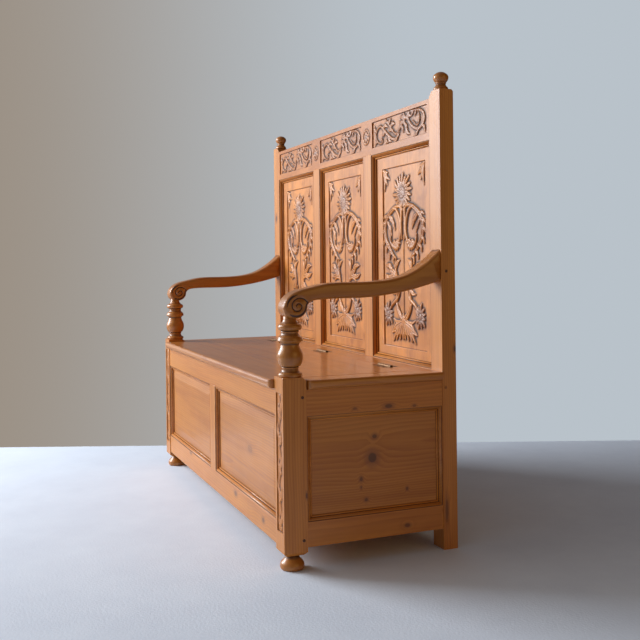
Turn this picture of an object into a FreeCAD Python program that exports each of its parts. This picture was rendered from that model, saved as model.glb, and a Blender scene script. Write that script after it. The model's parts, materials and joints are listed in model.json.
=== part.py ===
"""Settle bench: a joined pine settle with a box seat, a hinged lid, arms and a carved back.

Millimetres, +Z up. The front faces -Y and +X is on the right seen from the front.
The origin is the middle of the footprint, at floor level.
"""
import FreeCAD
import Part
import Sketcher
import os

# Driving dimensions: value and meaning

SIZES = {
    "width": (1280, "over the outer faces of the posts"),
    "depth": (470, "front face of the front posts to rear face of the back posts"),
    "nose": (14, "overhang of the lid in front of the front posts"),
    "front_post": (60, "side of the square front posts"),
    "post_ease": (8, "bevel at the lower corners of the front posts"),
    "post_brow": (9, "bevel at the rear top edge of the front posts"),
    "foot_tall": (36, "height of the turned feet"),
    "back_wide": (54, "width of the back posts along X"),
    "back_deep": (40, "depth of the back posts along Y"),
    "back_tall": (1172, "height of the back posts without their finials"),
    "back_ease": (13, "bevel at the inner top edge of the back posts"),
    "back_brow": (5, "bevel at the rear top edge of the back posts"),
    "post_proud": (8, "top of the front posts above the seat"),
    "seat_high": (452, "top of the seat above the floor"),
    "seat_thick": (22, "thickness of the lid and the fixed seat strips"),
    "setback": (2, "faces of the box rails behind the faces of the posts"),
    "rail_thick": (24, "thickness of the box rails"),
    "rail_lift": (18, "underside of the bottom rails above the lower end of the front posts"),
    "low_rail": (58, "height of the bottom rails"),
    "high_rail": (62, "height of the top rails of the box"),
    "tenon_thick": (10, "thickness of the tenons"),
    "tenon_long": (30, "length of the tenons"),
    "tenon_inset": (8, "shoulder above and below a tenon"),
    "stub_long": (16, "length of the stub tenons on the muntins"),
    "end_gap": (1, "space left at the end of a tenon or a tongue"),
    "groove_deep": (8, "depth of the panel grooves"),
    "muntin_wide": (54, "width of the muntin in the front"),
    "mould_wide": (15, "width of the mouldings round the box panels"),
    "front_mould": (12, "depth of the mouldings round the front panels"),
    "end_mould": (10, "depth of the mouldings round the end panels"),
    "front_board": (8, "thickness of the front panels at their tongues"),
    "raised": (4, "height of the raised field of the front panels"),
    "bevel": (26, "width of the bevel round the raised field"),
    "end_board": (10, "thickness of the end panels"),
    "strip_wide": (40, "width of the sunk strip on the front posts"),
    "strip_sink": (3, "depth of the sunk strip on the front posts"),
    "strip_lift": (54, "lower end of the sunk strip above the lower end of its post"),
    "strip_head": (38, "upper end of the sunk strip below the top of its post"),
    "back_thick": (30, "thickness of the rails and muntins of the back"),
    "frieze_drop": (17, "top of the carved top rail below the top of the back posts"),
    "frieze_tall": (104, "height of the carved top rail"),
    "frieze_sink": (4, "depth of the sunk fields in the top rail"),
    "frieze_field": (76, "height of the sunk fields in the top rail"),
    "frieze_lift": (17, "lower edge of these fields above the underside of the rail"),
    "frieze_margin": (12, "gap between these fields and the ends of their bay"),
    "seat_rail": (62, "height of the rail behind the seat"),
    "back_muntin": (50, "width of the muntins of the back"),
    "back_mould_wide": (16, "width of the mouldings round the carved panels"),
    "back_mould": (14, "depth of the mouldings round the carved panels"),
    "carved_board": (11, "thickness of the carved panels"),
    "field_wide": (257, "width of the sunk field of a carved panel"),
    "field_lift": (24, "lower edge of the sunk field above the moulding"),
    "field_head": (33, "upper edge of the sunk field below the moulding"),
    "field_sink": (4, "depth of the sunk field"),
    "box_board": (10, "thickness of the panel that closes the back of the box"),
    "strip_over": (6, "overhang of the end strips beyond the posts"),
    "strip_gap": (4, "gap between an end strip and the front post"),
    "side_gap": (3, "gap between the lid and an end strip"),
    "hinge_line": (68, "hinge axis in front of the back"),
    "hinge_gap": (2, "gap between the lid and the rear strip"),
    "nosing": (9, "rounding of the free edges of the seat"),
    "corner": (14, "rounding of the free corners of the seat, seen from above"),
    "ledger": (22, "thickness of the ledger under the rear strip"),
    "ledger_tall": (40, "height of the ledger under the rear strip"),
    "batten_wide": (45, "width of the battens under the lid"),
    "batten_thick": (20, "thickness of the battens under the lid"),
    "batten_back": (31, "rear end of a batten from the rear edge of the lid"),
    "batten_end": (217, "middle of a batten from the end of the lid"),
    "bearer": (18, "side of the square bearers under the floor"),
    "floor_board": (12, "thickness of the floor boards"),
    "floor_gap": (2, "gap round the floor boards"),
    "arm_wide": (52, "width of the arms"),
    "arm_in": (28, "middle of an arm inside the outer face of the posts"),
    "support_tall": (140, "height of the arm supports from the post to the underside of the scroll"),
    "scroll": (26, "radius of the scroll at the front of an arm"),
    "scroll_back": (42, "middle of the scroll behind the front of the front posts"),
    "arm_rise": (45, "underside of the level part of an arm above the underside of its scroll"),
    "arm_thick": (39, "thickness of the level part of an arm"),
    "arm_root": (38, "rise of the underside of an arm at the back post"),
    "arm_crest": (79, "rise of the top of an arm at the back post"),
    "arm_round": (9, "rounding of the long edges of an arm"),
    "arm_tenon": (36, "height of the tenon of an arm"),
    "tenon_lift": (7, "tenon of an arm above the underside of the arm"),
    "spigot": (10, "radius of the spigots on the turned pieces"),
    "spigot_long": (20, "length of the spigots on the turned pieces"),
    "spigot_fit": (0.3, "clearance round the spigots"),
    "support_sink": (6, "depth that the top of a support is let into its arm"),
    "support_ring": (29.2, "radius of the upper ring of an arm support"),
    "support_flare": (31, "radius of the middle flare of an arm support"),
    "support_neck": (22.4, "radius of the neck of an arm support"),
    "support_bulb": (31.2, "radius of the bulb of an arm support"),
    "support_base": (29.4, "radius of the base ring of an arm support"),
    "support_waist": (20.5, "radius of the two waists of an arm support"),
    "support_top": (15.6, "radius of the top of an arm support"),
    "foot_bun": (29.8, "radius of a foot at its widest"),
    "foot_neck": (17.5, "radius of a foot at its neck"),
    "foot_sole": (25, "radius of the flat sole of a foot"),
    "finial_ball": (19.9, "radius of the ball of a finial"),
    "finial_neck": (12.5, "radius of the neck of a finial"),
    "finial_base": (19.4, "radius of the base of a finial"),
    "finial_tall": (48, "height of a finial"),
    "finial_spigot": (8, "radius of the spigot of a finial"),
    "peg": (4, "radius of the pegs"),
    "peg_long": (22, "length of the pegs of the end rails"),
    "back_peg": (34, "length of the pegs of the arms and of the rails of the back"),
    "peg_in": (10, "peg to the shoulder of its tenon"),
    "box_peg": (18, "pegs of the end rails to the outer edges of their rails"),
    "leaf_long": (76, "length of a hinge"),
    "leaf_wide": (24, "width of a hinge leaf from the hinge axis"),
    "leaf_thick": (2, "thickness of a hinge leaf"),
    "knuckle": (4, "radius of the hinge knuckles"),
    "knuckle_lift": (1, "hinge axis above the top of the seat"),
    "knuckle_gap": (0.3, "gap between two knuckles"),
    "knuckle_room": (1, "space round the knuckles in the wood"),
    "pin": (2, "radius of a hinge pin"),
    "pin_fit": (0.05, "clearance between a pin and the knuckles"),
    "pin_head": (3.2, "radius of the heads of a hinge pin"),
    "pin_cap": (1.2, "thickness of the heads of a hinge pin"),
    "hinge_end": (127, "middle of an outer hinge from the end of the lid"),
    "screw": (1.8, "radius of a screw's shank"),
    "screw_head": (3.8, "radius of a screw's head"),
    "screw_long": (14, "length of a screw"),
    "screw_row": (27, "outer screws of a leaf from its middle"),
    "screw_in": (6, "screws from the free edge of a leaf"),
}

doc = FreeCAD.newDocument("SettleBench")
sheet = doc.addObject("Spreadsheet::Sheet", "Sizes")
for row, (alias, (value, meaning)) in enumerate(SIZES.items(), start=1):
    sheet.set("A%d" % row, meaning)
    sheet.set("B%d" % row, str(value))
    sheet.setAlias("B%d" % row, alias)
doc.recompute()


class Length:
    """A length that knows its value and its formula on the sheet."""

    def __init__(self, formula, number):
        self.formula = formula
        self.number = number

    def __float__(self):
        return float(self.number)

    def __add__(self, other):
        other = length(other)
        return Length("(%s + %s)" % (self.formula, other.formula), self.number + other.number)

    def __sub__(self, other):
        other = length(other)
        return Length("(%s - %s)" % (self.formula, other.formula), self.number - other.number)

    def __mul__(self, other):
        other = length(other)
        return Length("(%s * %s)" % (self.formula, other.formula), self.number * other.number)

    def __truediv__(self, other):
        other = length(other)
        return Length("(%s / %s)" % (self.formula, other.formula), self.number / other.number)

    def __rsub__(self, other):
        return length(other) - self

    def __neg__(self):
        return length(0) - self

    __radd__ = __add__
    __rmul__ = __mul__


def length(value):
    """A plain number as a length; a length stays as it is."""
    return value if isinstance(value, Length) else Length("%.6g" % value, float(value))


class Sizes:
    """The cells of the sheet by their aliases."""

    def __getattr__(self, alias):
        return Length("Sizes." + alias, float(sheet.get(alias)))


s = Sizes()
PIECES = []

# Shared places and spans

FRONT = (s.nose - s.depth) / 2
REAR = FRONT + s.depth
BACK_FACE = REAR - s.back_deep
SEAT_UNDER = s.seat_high - s.seat_thick
POST_TOP = s.seat_high + s.post_proud
RAIL_BASE = s.foot_tall + s.rail_lift
OPENING_LOW = RAIL_BASE + s.low_rail
OPENING_HIGH = SEAT_UNDER - s.high_rail
OPENING_TALL = OPENING_HIGH - OPENING_LOW
FRONT_SPAN = s.width - 2 * s.front_post
END_SPAN = s.depth - s.front_post - s.back_deep
BACK_SPAN = s.width - 2 * s.back_wide
FRONT_BAY = (FRONT_SPAN - s.muntin_wide) / 2
BACK_BAY = (BACK_SPAN - 2 * s.back_muntin) / 3
BACK_PITCH = BACK_BAY + s.back_muntin
FRIEZE_LOW = s.back_tall - s.frieze_drop - s.frieze_tall
BACK_OPENING = FRIEZE_LOW - s.seat_high
FIELD_TALL = BACK_OPENING - 2 * s.back_mould_wide - s.field_lift - s.field_head
BOX_BACK_TALL = s.seat_high - s.seat_rail - OPENING_LOW
TENON_FACE = s.setback + (s.rail_thick - s.tenon_thick) / 2
BACK_TENON = (s.back_thick - s.tenon_thick) / 2
HINGE_Y = BACK_FACE - s.hinge_line
AXIS_Z = s.seat_high + s.knuckle_lift
LID_HALF = s.width / 2 - s.front_post - s.side_gap
LID_DEEP = HINGE_Y - s.hinge_gap / 2 - FRONT + s.nose
LID_BACK = HINGE_Y - s.hinge_gap / 2
HINGE_OUT = LID_HALF - s.hinge_end
BATTEN_LONG = LID_BACK - s.batten_back - FRONT - s.front_post
ARM_X = s.width / 2 - s.arm_in
SUPPORT_X = s.width / 2 - s.front_post / 2
ARM_UNDER = POST_TOP + s.support_tall
ARM_LEVEL = ARM_UNDER + s.arm_rise
ARM_TENON_LOW = ARM_LEVEL + s.arm_root + s.tenon_lift
TONGUE = s.groove_deep - s.end_gap
BOX_RAILS = (
    ("High", OPENING_HIGH, s.high_rail),
    ("Low", RAIL_BASE, s.low_rail),
)
BACK_RAILS = (
    ("Frieze", FRIEZE_LOW, s.frieze_tall),
    ("SeatRail", s.seat_high - s.seat_rail, s.seat_rail),
    ("BoxRail", RAIL_BASE, s.low_rail),
)
FLOOR_BOARDS = 5
PEG_HEIGHTS = (
    ("High", SEAT_UNDER - s.box_peg),
    ("Low", RAIL_BASE + s.box_peg),
)
ARM_PEG_IN = s.tenon_long / 2
ARM_PEG_HIGH = ARM_TENON_LOW + s.arm_tenon / 2


def bind(target, path, formula):
    """Bind a property to a formula of the sheet's cells."""
    target.setExpression(path, length(formula).formula)


def place(target, x, y, z):
    """Bind the place of a piece or of one of its features."""
    bind(target, "Placement.Base.x", x)
    bind(target, "Placement.Base.y", y)
    bind(target, "Placement.Base.z", z)


def body_at(label, x, y, z):
    """An empty body with its name and its place."""
    body = doc.addObject("PartDesign::Body", label)
    body.Label = label
    place(body, x, y, z)
    PIECES.append(body)
    return body


def block(body, name, at, extent, cut=False, side=1):
    """Add or cut a block by its lowest corner; for side -1 it is mirrored across X = 0."""
    kind = "PartDesign::SubtractiveBox" if cut else "PartDesign::AdditiveBox"
    box = body.newObject(kind, name)
    for path, formula in zip(("Length", "Width", "Height"), extent):
        bind(box, path, formula)
    x, y, z = at
    if side < 0:
        x = -(x + extent[0])
    place(box, x, y, z)
    return box


TURNS = {
    "+X": FreeCAD.Rotation(FreeCAD.Vector(0, 1, 0), 90),
    "-X": FreeCAD.Rotation(FreeCAD.Vector(0, 1, 0), -90),
    "+Y": FreeCAD.Rotation(FreeCAD.Vector(1, 0, 0), -90),
    "-Y": FreeCAD.Rotation(FreeCAD.Vector(1, 0, 0), 90),
    "+Z": FreeCAD.Rotation(),
}


def hole(body, name, at, radius, deep, axis):
    """Cut a round hole from a place in the body along an axis."""
    drill = body.newObject("PartDesign::SubtractiveCylinder", name)
    drill.Placement = FreeCAD.Placement(FreeCAD.Vector(), TURNS[axis])
    bind(drill, "Radius", radius)
    bind(drill, "Height", deep)
    place(drill, *at)
    return drill


def sketch_on(body, name, role):
    """A new sketch on an origin plane of its body."""
    sketch = body.newObject("Sketcher::SketchObject", name)
    planes = [item for item in body.Origin.OriginFeatures if item.Role == role]
    sketch.AttachmentSupport = [(planes[0], "")]
    sketch.MapMode = "FlatFace"
    return sketch


def hold(sketch, kind, geometry, value):
    """Add a constraint with a size and bind it to its formula."""
    number = sketch.addConstraint(Sketcher.Constraint(kind, *geometry, float(value)))
    bind(sketch, "Constraints[%d]" % number, value)


def outline(sketch, corners):
    """Draw a closed outline of lines and arcs through (across, up, bulge) corners.

    A bulge is the height of an arc from its corner to the next one, positive to the right
    of the way there; 0 is a straight line. An arc that ends on the axis has its centre there.
    """
    points = [FreeCAD.Vector(float(a), float(b), 0) for a, b, _ in corners]
    count = len(corners)
    ends = []
    for index, (across, up, bulge) in enumerate(corners):
        begin = points[index]
        finish = points[(index + 1) % count]
        if float(bulge) == 0:
            number = sketch.addGeometry(Part.LineSegment(begin, finish), False)
        else:
            chord = finish - begin
            right = FreeCAD.Vector(chord.y, -chord.x, 0).normalize()
            middle = (begin + finish) * 0.5 + right * float(bulge)
            number = sketch.addGeometry(Part.Arc(begin, middle, finish), False)
        starts_here = (sketch.getPoint(number, 1) - begin).Length < 1e-6
        ends.append((number, 1, 2) if starts_here else (number, 2, 1))
    for index, (across, up, bulge) in enumerate(corners):
        number, begin, finish = ends[index]
        after, after_begin, _ = ends[(index + 1) % count]
        sketch.addConstraint(Sketcher.Constraint("Coincident", number, finish, after, after_begin))
        if float(across) == 0:
            sketch.addConstraint(Sketcher.Constraint("PointOnObject", number, begin, -2))
        else:
            hold(sketch, "DistanceX", (-1, 1, number, begin), across)
        if float(up) == 0:
            sketch.addConstraint(Sketcher.Constraint("PointOnObject", number, begin, -1))
        else:
            hold(sketch, "DistanceY", (-1, 1, number, begin), up)
        next_across, next_up, _ = corners[(index + 1) % count]
        if float(bulge) != 0 and float(next_across) == 0:
            sketch.addConstraint(Sketcher.Constraint("PointOnObject", number, 3, -2))
        elif float(bulge) != 0:
            run = length(next_across) - length(across)
            rise = length(next_up) - length(up)
            arch = length(bulge) if float(bulge) > 0 else -length(bulge)
            hold(sketch, "Radius", (number,), (run * run + rise * rise) / (8 * arch) + arch / 2)


def turned(label, at, profile):
    """A piece turned on a lathe, from its profile of (radius, height, bulge) corners."""
    body = body_at(label, *at)
    sketch = sketch_on(body, "Profile", "XZ_Plane")
    outline(sketch, profile)
    turning = body.newObject("PartDesign::Revolution", "Turning")
    turning.Profile = sketch
    turning.ReferenceAxis = (sketch, ["V_Axis"])
    turning.Angle = 360
    sketch.Visibility = False
    return body


def feature(label, shape, x=0, y=0, z=0):
    """A piece whose shape comes from Part's own functions."""
    item = doc.addObject("Part::Feature", label)
    item.Label = label
    item.Shape = shape
    place(item, x, y, z)
    PIECES.append(item)
    return item


def side_name(name, side):
    """The name of a piece of the left or the right side."""
    return name + ("_right" if side > 0 else "_left")


def near(one, other):
    """Two places that are the same to a tenth of a millimetre."""
    return abs(float(one) - float(other)) < 0.1


def edges_where(body, wanted):
    """The names of the straight edges of a body whose middle passes a test, in its own axes."""
    names = []
    for number, edge in enumerate(body.Tip.Shape.Edges, start=1):
        middle = (edge.Vertexes[0].Point + edge.Vertexes[-1].Point) * 0.5
        if edge.Curve.TypeId == "Part::GeomLine" and wanted(middle):
            names.append("Edge%d" % number)
    return names


def bevel(body, name, wanted, width):
    """Bevel the straight edges of a body that pass a test."""
    doc.recompute()
    base = body.Tip
    edges = edges_where(body, wanted)
    cut = body.newObject("PartDesign::Chamfer", name)
    cut.Base = (base, edges)
    bind(cut, "Size", width)


# Front posts and feet

def front_post(side):
    """A front post, its origin in the middle of its lower end."""
    half = s.front_post / 2
    tall = POST_TOP - s.foot_tall
    mortise = s.tenon_long + s.end_gap
    post = body_at(side_name("front_post", side), side * SUPPORT_X, FRONT + half, s.foot_tall)
    block(post, "Square", (-half, -half, 0), (s.front_post, s.front_post, tall))
    for name, base, height in BOX_RAILS:
        low = base + s.tenon_inset - s.foot_tall
        height = height - 2 * s.tenon_inset
        block(post, name + "FrontMortise", (-half, TENON_FACE - half, low),
              (mortise, s.tenon_thick, height), cut=True, side=side)
        block(post, name + "EndMortise", (half - TENON_FACE - s.tenon_thick, half - mortise, low),
              (s.tenon_thick, mortise, height), cut=True, side=side)
    low = OPENING_LOW - s.groove_deep - s.foot_tall
    long = OPENING_TALL + 2 * s.groove_deep
    block(post, "FrontGroove", (-half, s.setback + s.front_mould - half, low),
          (s.groove_deep, s.front_board, long), cut=True, side=side)
    block(post, "EndGroove", (half - s.setback - s.end_mould - s.end_board, half - s.groove_deep, low),
          (s.end_board, s.groove_deep, long), cut=True, side=side)
    block(post, "SunkStrip", (-s.strip_wide / 2, -half, s.strip_lift),
          (s.strip_wide, s.strip_sink, tall - s.strip_lift - s.strip_head), cut=True)
    socket = s.spigot_long + s.end_gap
    hole(post, "FootSocket", (0, 0, 0), s.spigot + s.spigot_fit, socket, "+Z")
    hole(post, "SupportSocket", (0, 0, tall - socket), s.spigot + s.spigot_fit, socket, "+Z")
    for name, height in PEG_HEIGHTS:
        hole(post, name + "PegHole", (side * half, half - s.peg_in, height - s.foot_tall),
             s.peg, s.peg_long, "-X" if side > 0 else "+X")
    edge = float(half)
    bevel(post, "LowerEdges",
          lambda at: near(at.z, 0) and (near(abs(at.x), edge) or near(abs(at.y), edge)), s.post_ease)
    bevel(post, "TopRearEdge", lambda at: near(at.z, tall) and near(at.y, edge), s.post_brow)


def foot(side):
    """A turned bun foot with the spigot that goes up into its post."""
    tall = s.foot_tall
    turned(side_name("foot", side), (side * SUPPORT_X, FRONT + s.front_post / 2, 0), [
        (0, 0, 0),
        (s.foot_sole, 0, 0.8),
        (s.foot_bun - 1, tall * 0.1, 0.2 * (s.foot_bun - s.foot_neck)),
        (s.foot_bun - 4.8, tall * 0.56, 0),
        (s.foot_neck, tall * 0.78, 0),
        (s.foot_neck, tall, 0),
        (s.spigot, tall, 0),
        (s.spigot, tall + s.spigot_long, 0),
        (0, tall + s.spigot_long, 0),
    ])


# Arms, arm supports and finials

def arm_support(side):
    """A turned arm support, its origin on the top of its post."""
    step = s.support_tall / 140
    shoulder = s.support_tall + s.support_sink
    neck = s.support_neck
    waist = s.support_waist
    flare = s.support_flare
    turned(side_name("arm_support", side), (side * SUPPORT_X, FRONT + s.front_post / 2, POST_TOP), [
        (0, -s.spigot_long, 0),
        (s.spigot, -s.spigot_long, 0),
        (s.spigot, 0, 0),
        (s.support_base - 1.5, 0, 1.5),
        (s.support_base - 1.5, 9.5 * step, -2.5),
        (waist, 20 * step, 1.4),
        (waist, 25 * step, 0),
        (s.support_bulb - 6.2, 26.5 * step, 4.7),
        (s.support_bulb - 2.7, 62 * step, -1.2),
        (neck, 79 * step, 0),
        (neck + 3.6, 82.5 * step, 0),
        (flare - 0.8, 85.5 * step, 0.8),
        (flare - 0.8, 90 * step, 1),
        (flare - 5, 97.5 * step, -1),
        (waist, 105.5 * step, 1.8),
        (waist, 111 * step, 0),
        (s.support_ring - 3.2, 112.5 * step, 3),
        (s.support_ring - 2.6, 125.5 * step, -2),
        (s.support_top, 138 * step, 0),
        (s.support_top, shoulder, 0),
        (s.spigot, shoulder, 0),
        (s.spigot, shoulder + s.spigot_long, 0),
        (0, shoulder + s.spigot_long, 0),
    ])


def finial(side):
    """A turned finial with the spigot that goes down into its back post."""
    step = s.finial_tall / 48
    centre = side * (s.width / 2 - s.back_wide / 2)
    turned(side_name("finial", side), (centre, REAR - s.back_deep / 2, s.back_tall), [
        (0, -s.spigot_long, 0),
        (s.finial_spigot, -s.spigot_long, 0),
        (s.finial_spigot, 0, 0),
        (s.finial_base, 0, 0),
        (s.finial_base, 2 * step, 0.8),
        (s.finial_neck + 4, 9 * step, -1),
        (s.finial_neck, 17 * step, 1.2),
        (s.finial_neck + 1, 20.5 * step, 1.8),
        (s.finial_ball, 34 * step, 1.1),
        (s.finial_ball - 5, 42.5 * step, 1.4),
        (0, s.finial_tall, 0),
    ])


def arm_shape(side):
    """An arm with its scroll, its rear tenon and the socket for its support.

    Its origin is on the floor below the front face of the posts, in the middle of its width.
    """
    level = float(ARM_LEVEL)
    top = level + float(s.arm_thick)
    rear = float(END_SPAN + s.front_post)
    radius = float(s.scroll)
    centre = FreeCAD.Vector(0, float(s.scroll_back), float(ARM_UNDER) + radius)
    step = radius / 26

    def at(y, z):
        return FreeCAD.Vector(0, y, z)

    def beside(y, z):
        return centre + FreeCAD.Vector(0, y * step, z * step)

    chin = beside(26, 2)
    under = Part.BSplineCurve()
    under.interpolate([chin, at(centre.y + 32 * step, level - 8 * step),
                       at(centre.y + 56 * step, level - 1.5 * step), at(centre.y + 100 * step, level),
                       at(rear * 0.5, level + 0.5 * step), at(rear * 0.72, level + 10 * step),
                       at(rear, level + float(s.arm_root))])
    over = Part.BSplineCurve()
    over.interpolate([at(rear, top + float(s.arm_crest)), at(rear * 0.905, top + 45 * step),
                      at(rear * 0.765, top + 14 * step), at(rear * 0.63, top + 3 * step),
                      at(rear * 0.45, top), at(centre.y + 68 * step, top - 3.5 * step),
                      at(centre.y + 32 * step, top - 11 * step), beside(-10, 34.5), beside(-29, 18),
                      beside(-35.5, -1), beside(-29, -18.5), beside(-14, -25), beside(2, -25.4),
                      beside(18, -17), chin])
    end = Part.LineSegment(under.EndPoint, over.StartPoint)
    wire = Part.Wire([curve.toShape() for curve in (under, end, over)])
    wide = float(s.arm_wide)
    face = Part.Face(wire)
    face.translate(FreeCAD.Vector(-wide / 2, 0, 0))
    arm = face.extrude(FreeCAD.Vector(wide, 0, 0))
    long_edges = [edge for edge in arm.Edges
                  if near(abs(edge.Vertexes[0].X), wide / 2) and near(edge.Vertexes[0].X, edge.Vertexes[-1].X)
                  and not (near(edge.Vertexes[0].Y, rear) and near(edge.Vertexes[-1].Y, rear))]
    arm = arm.makeFillet(float(s.arm_round), long_edges)
    thick = 2 * float(s.tenon_thick)
    tenon = Part.makeBox(thick, float(s.tenon_long), float(s.arm_tenon),
                         at(rear, float(ARM_TENON_LOW)) - FreeCAD.Vector(thick / 2, 0, 0))
    below = FreeCAD.Vector(side * float(s.arm_in - s.front_post / 2), float(s.front_post) / 2,
                           float(ARM_UNDER) - radius)
    sink = radius + float(s.support_sink)
    socket = Part.makeCylinder(float(s.spigot + s.spigot_fit), sink + float(s.spigot_long + s.end_gap), below)
    socket = socket.fuse(Part.makeCylinder(float(s.support_top + s.spigot_fit), sink, below))
    outer = FreeCAD.Vector(side * float(s.arm_in), rear + float(ARM_PEG_IN), float(ARM_PEG_HIGH))
    drill = Part.makeCylinder(float(s.peg), float(s.back_peg), outer, FreeCAD.Vector(-side, 0, 0))
    return arm.fuse(tenon).cut(socket).cut(drill).removeSplitter()


# Back posts

def back_post(side):
    """A back post, its origin in the middle of its foot."""
    half = s.back_wide / 2
    rear = s.back_deep / 2
    mortise = s.tenon_long + s.end_gap
    post = body_at(side_name("back_post", side), side * (s.width / 2 - half), REAR - rear, 0)
    block(post, "Square", (-half, -rear, 0), (s.back_wide, s.back_deep, s.back_tall))
    for name, base, height in BOX_RAILS:
        block(post, name + "EndMortise", (half - TENON_FACE - s.tenon_thick, -rear, base + s.tenon_inset),
              (s.tenon_thick, mortise, height - 2 * s.tenon_inset), cut=True, side=side)
    for name, base, height in BACK_RAILS:
        block(post, name + "Mortise", (-half, BACK_TENON - rear, base + s.tenon_inset),
              (mortise, s.tenon_thick, height - 2 * s.tenon_inset), cut=True, side=side)
        hole(post, name + "PegHole", (side * (s.peg_in - half), rear, base + height / 2),
             s.peg, s.back_peg, "-Y")
    deep = s.groove_deep
    block(post, "EndGroove", (half - s.setback - s.end_mould - s.end_board, -rear, OPENING_LOW - deep),
          (s.end_board, deep, OPENING_TALL + 2 * deep), cut=True, side=side)
    block(post, "CarvedPanelGroove", (-half, s.back_mould - rear, s.seat_high - deep),
          (deep, s.carved_board, BACK_OPENING + 2 * deep), cut=True, side=side)
    block(post, "BoxPanelGroove", (-half, (s.back_thick - s.box_board) / 2 - rear, OPENING_LOW - deep),
          (deep, s.box_board, BOX_BACK_TALL + 2 * deep), cut=True, side=side)
    block(post, "ArmMortise", (half - s.arm_in - s.tenon_thick, -rear, ARM_TENON_LOW),
          (2 * s.tenon_thick, mortise, s.arm_tenon), cut=True, side=side)
    for name, height in PEG_HEIGHTS:
        hole(post, name + "PegHole", (side * half, s.peg_in - rear, height),
             s.peg, s.peg_long, "-X" if side > 0 else "+X")
    hole(post, "ArmPegHole", (side * half, ARM_PEG_IN - rear, ARM_PEG_HIGH),
         s.peg, s.back_peg, "-X" if side > 0 else "+X")
    socket = s.spigot_long + s.end_gap
    hole(post, "FinialSocket", (0, 0, s.back_tall - socket), s.finial_spigot + s.spigot_fit, socket, "+Z")
    inner = -side * float(half)
    bevel(post, "InnerTopEdge",
          lambda at: near(at.z, s.back_tall) and near(at.x, inner), s.back_ease)
    bevel(post, "RearTopEdge",
          lambda at: near(at.z, s.back_tall) and near(at.y, rear), s.back_brow)


# Rails and muntins

def long_rail(label, span, y, z, thick, tall, tenon_at):
    """A rail along X with a tenon at each end, its origin in the middle of its lower front edge."""
    rail = body_at(label, 0, y, z)
    block(rail, "Plank", (-span / 2, 0, 0), (span, thick, tall))
    block(rail, "Tenons", (-span / 2 - s.tenon_long, tenon_at, s.tenon_inset),
          (span + 2 * s.tenon_long, s.tenon_thick, tall - 2 * s.tenon_inset))
    return rail


def front_rails():
    """The two rails of the front, with the groove and the mortise for the muntin."""
    tenon_at = (s.rail_thick - s.tenon_thick) / 2
    stub = s.stub_long + s.end_gap
    wide = s.muntin_wide - 2 * s.tenon_inset
    for label, z, tall, groove_at, stub_at in (
            ("front_top_rail", OPENING_HIGH, s.high_rail, length(0), length(0)),
            ("front_bottom_rail", RAIL_BASE, s.low_rail, s.low_rail - s.groove_deep, s.low_rail - stub)):
        rail = long_rail(label, FRONT_SPAN, FRONT + s.setback, z, s.rail_thick, tall, tenon_at)
        block(rail, "PanelGroove", (-FRONT_SPAN / 2, s.front_mould, groove_at),
              (FRONT_SPAN, s.front_board, s.groove_deep), cut=True)
        block(rail, "MuntinMortise", (-wide / 2, tenon_at, stub_at), (wide, s.tenon_thick, stub), cut=True)


def muntin(label, x, y, z, extent, groove_at, groove_wide):
    """An upright between two openings, with stub tenons and a groove in each edge."""
    wide, thick, tall = extent
    upright = body_at(label, x, y, z)
    block(upright, "Plank", (-wide / 2, 0, 0), (wide, thick, tall))
    block(upright, "StubTenons", (s.tenon_inset - wide / 2, (thick - s.tenon_thick) / 2, -s.stub_long),
          (wide - 2 * s.tenon_inset, s.tenon_thick, tall + 2 * s.stub_long))
    for name, at in (("LeftGroove", -wide / 2), ("RightGroove", wide / 2 - s.groove_deep)):
        block(upright, name, (at, groove_at, 0), (s.groove_deep, groove_wide, tall), cut=True)


def end_rails(side):
    """The two rails of an end, their origins at the front of their lower outer edges."""
    inner = -(s.rail_thick + s.tenon_thick) / 2
    for label, z, tall, groove_at, peg_at in (
            ("end_top_rail", OPENING_HIGH, s.high_rail, length(0), PEG_HEIGHTS[0][1]),
            ("end_bottom_rail", RAIL_BASE, s.low_rail, s.low_rail - s.groove_deep, PEG_HEIGHTS[1][1])):
        rail = body_at(side_name(label, side), side * (s.width / 2 - s.setback), FRONT + s.front_post, z)
        block(rail, "Plank", (-s.rail_thick, 0, 0), (s.rail_thick, END_SPAN, tall), side=side)
        block(rail, "Tenons", (inner, -s.tenon_long, s.tenon_inset),
              (s.tenon_thick, END_SPAN + 2 * s.tenon_long, tall - 2 * s.tenon_inset), side=side)
        block(rail, "PanelGroove", (-s.end_mould - s.end_board, 0, groove_at),
              (s.end_board, END_SPAN, s.groove_deep), cut=True, side=side)
        for name, y in (("FrontPegHole", -s.peg_in), ("RearPegHole", END_SPAN + s.peg_in)):
            hole(rail, name, (side * s.setback, y, peg_at - z), s.peg, s.peg_long, "-X" if side > 0 else "+X")


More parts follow.
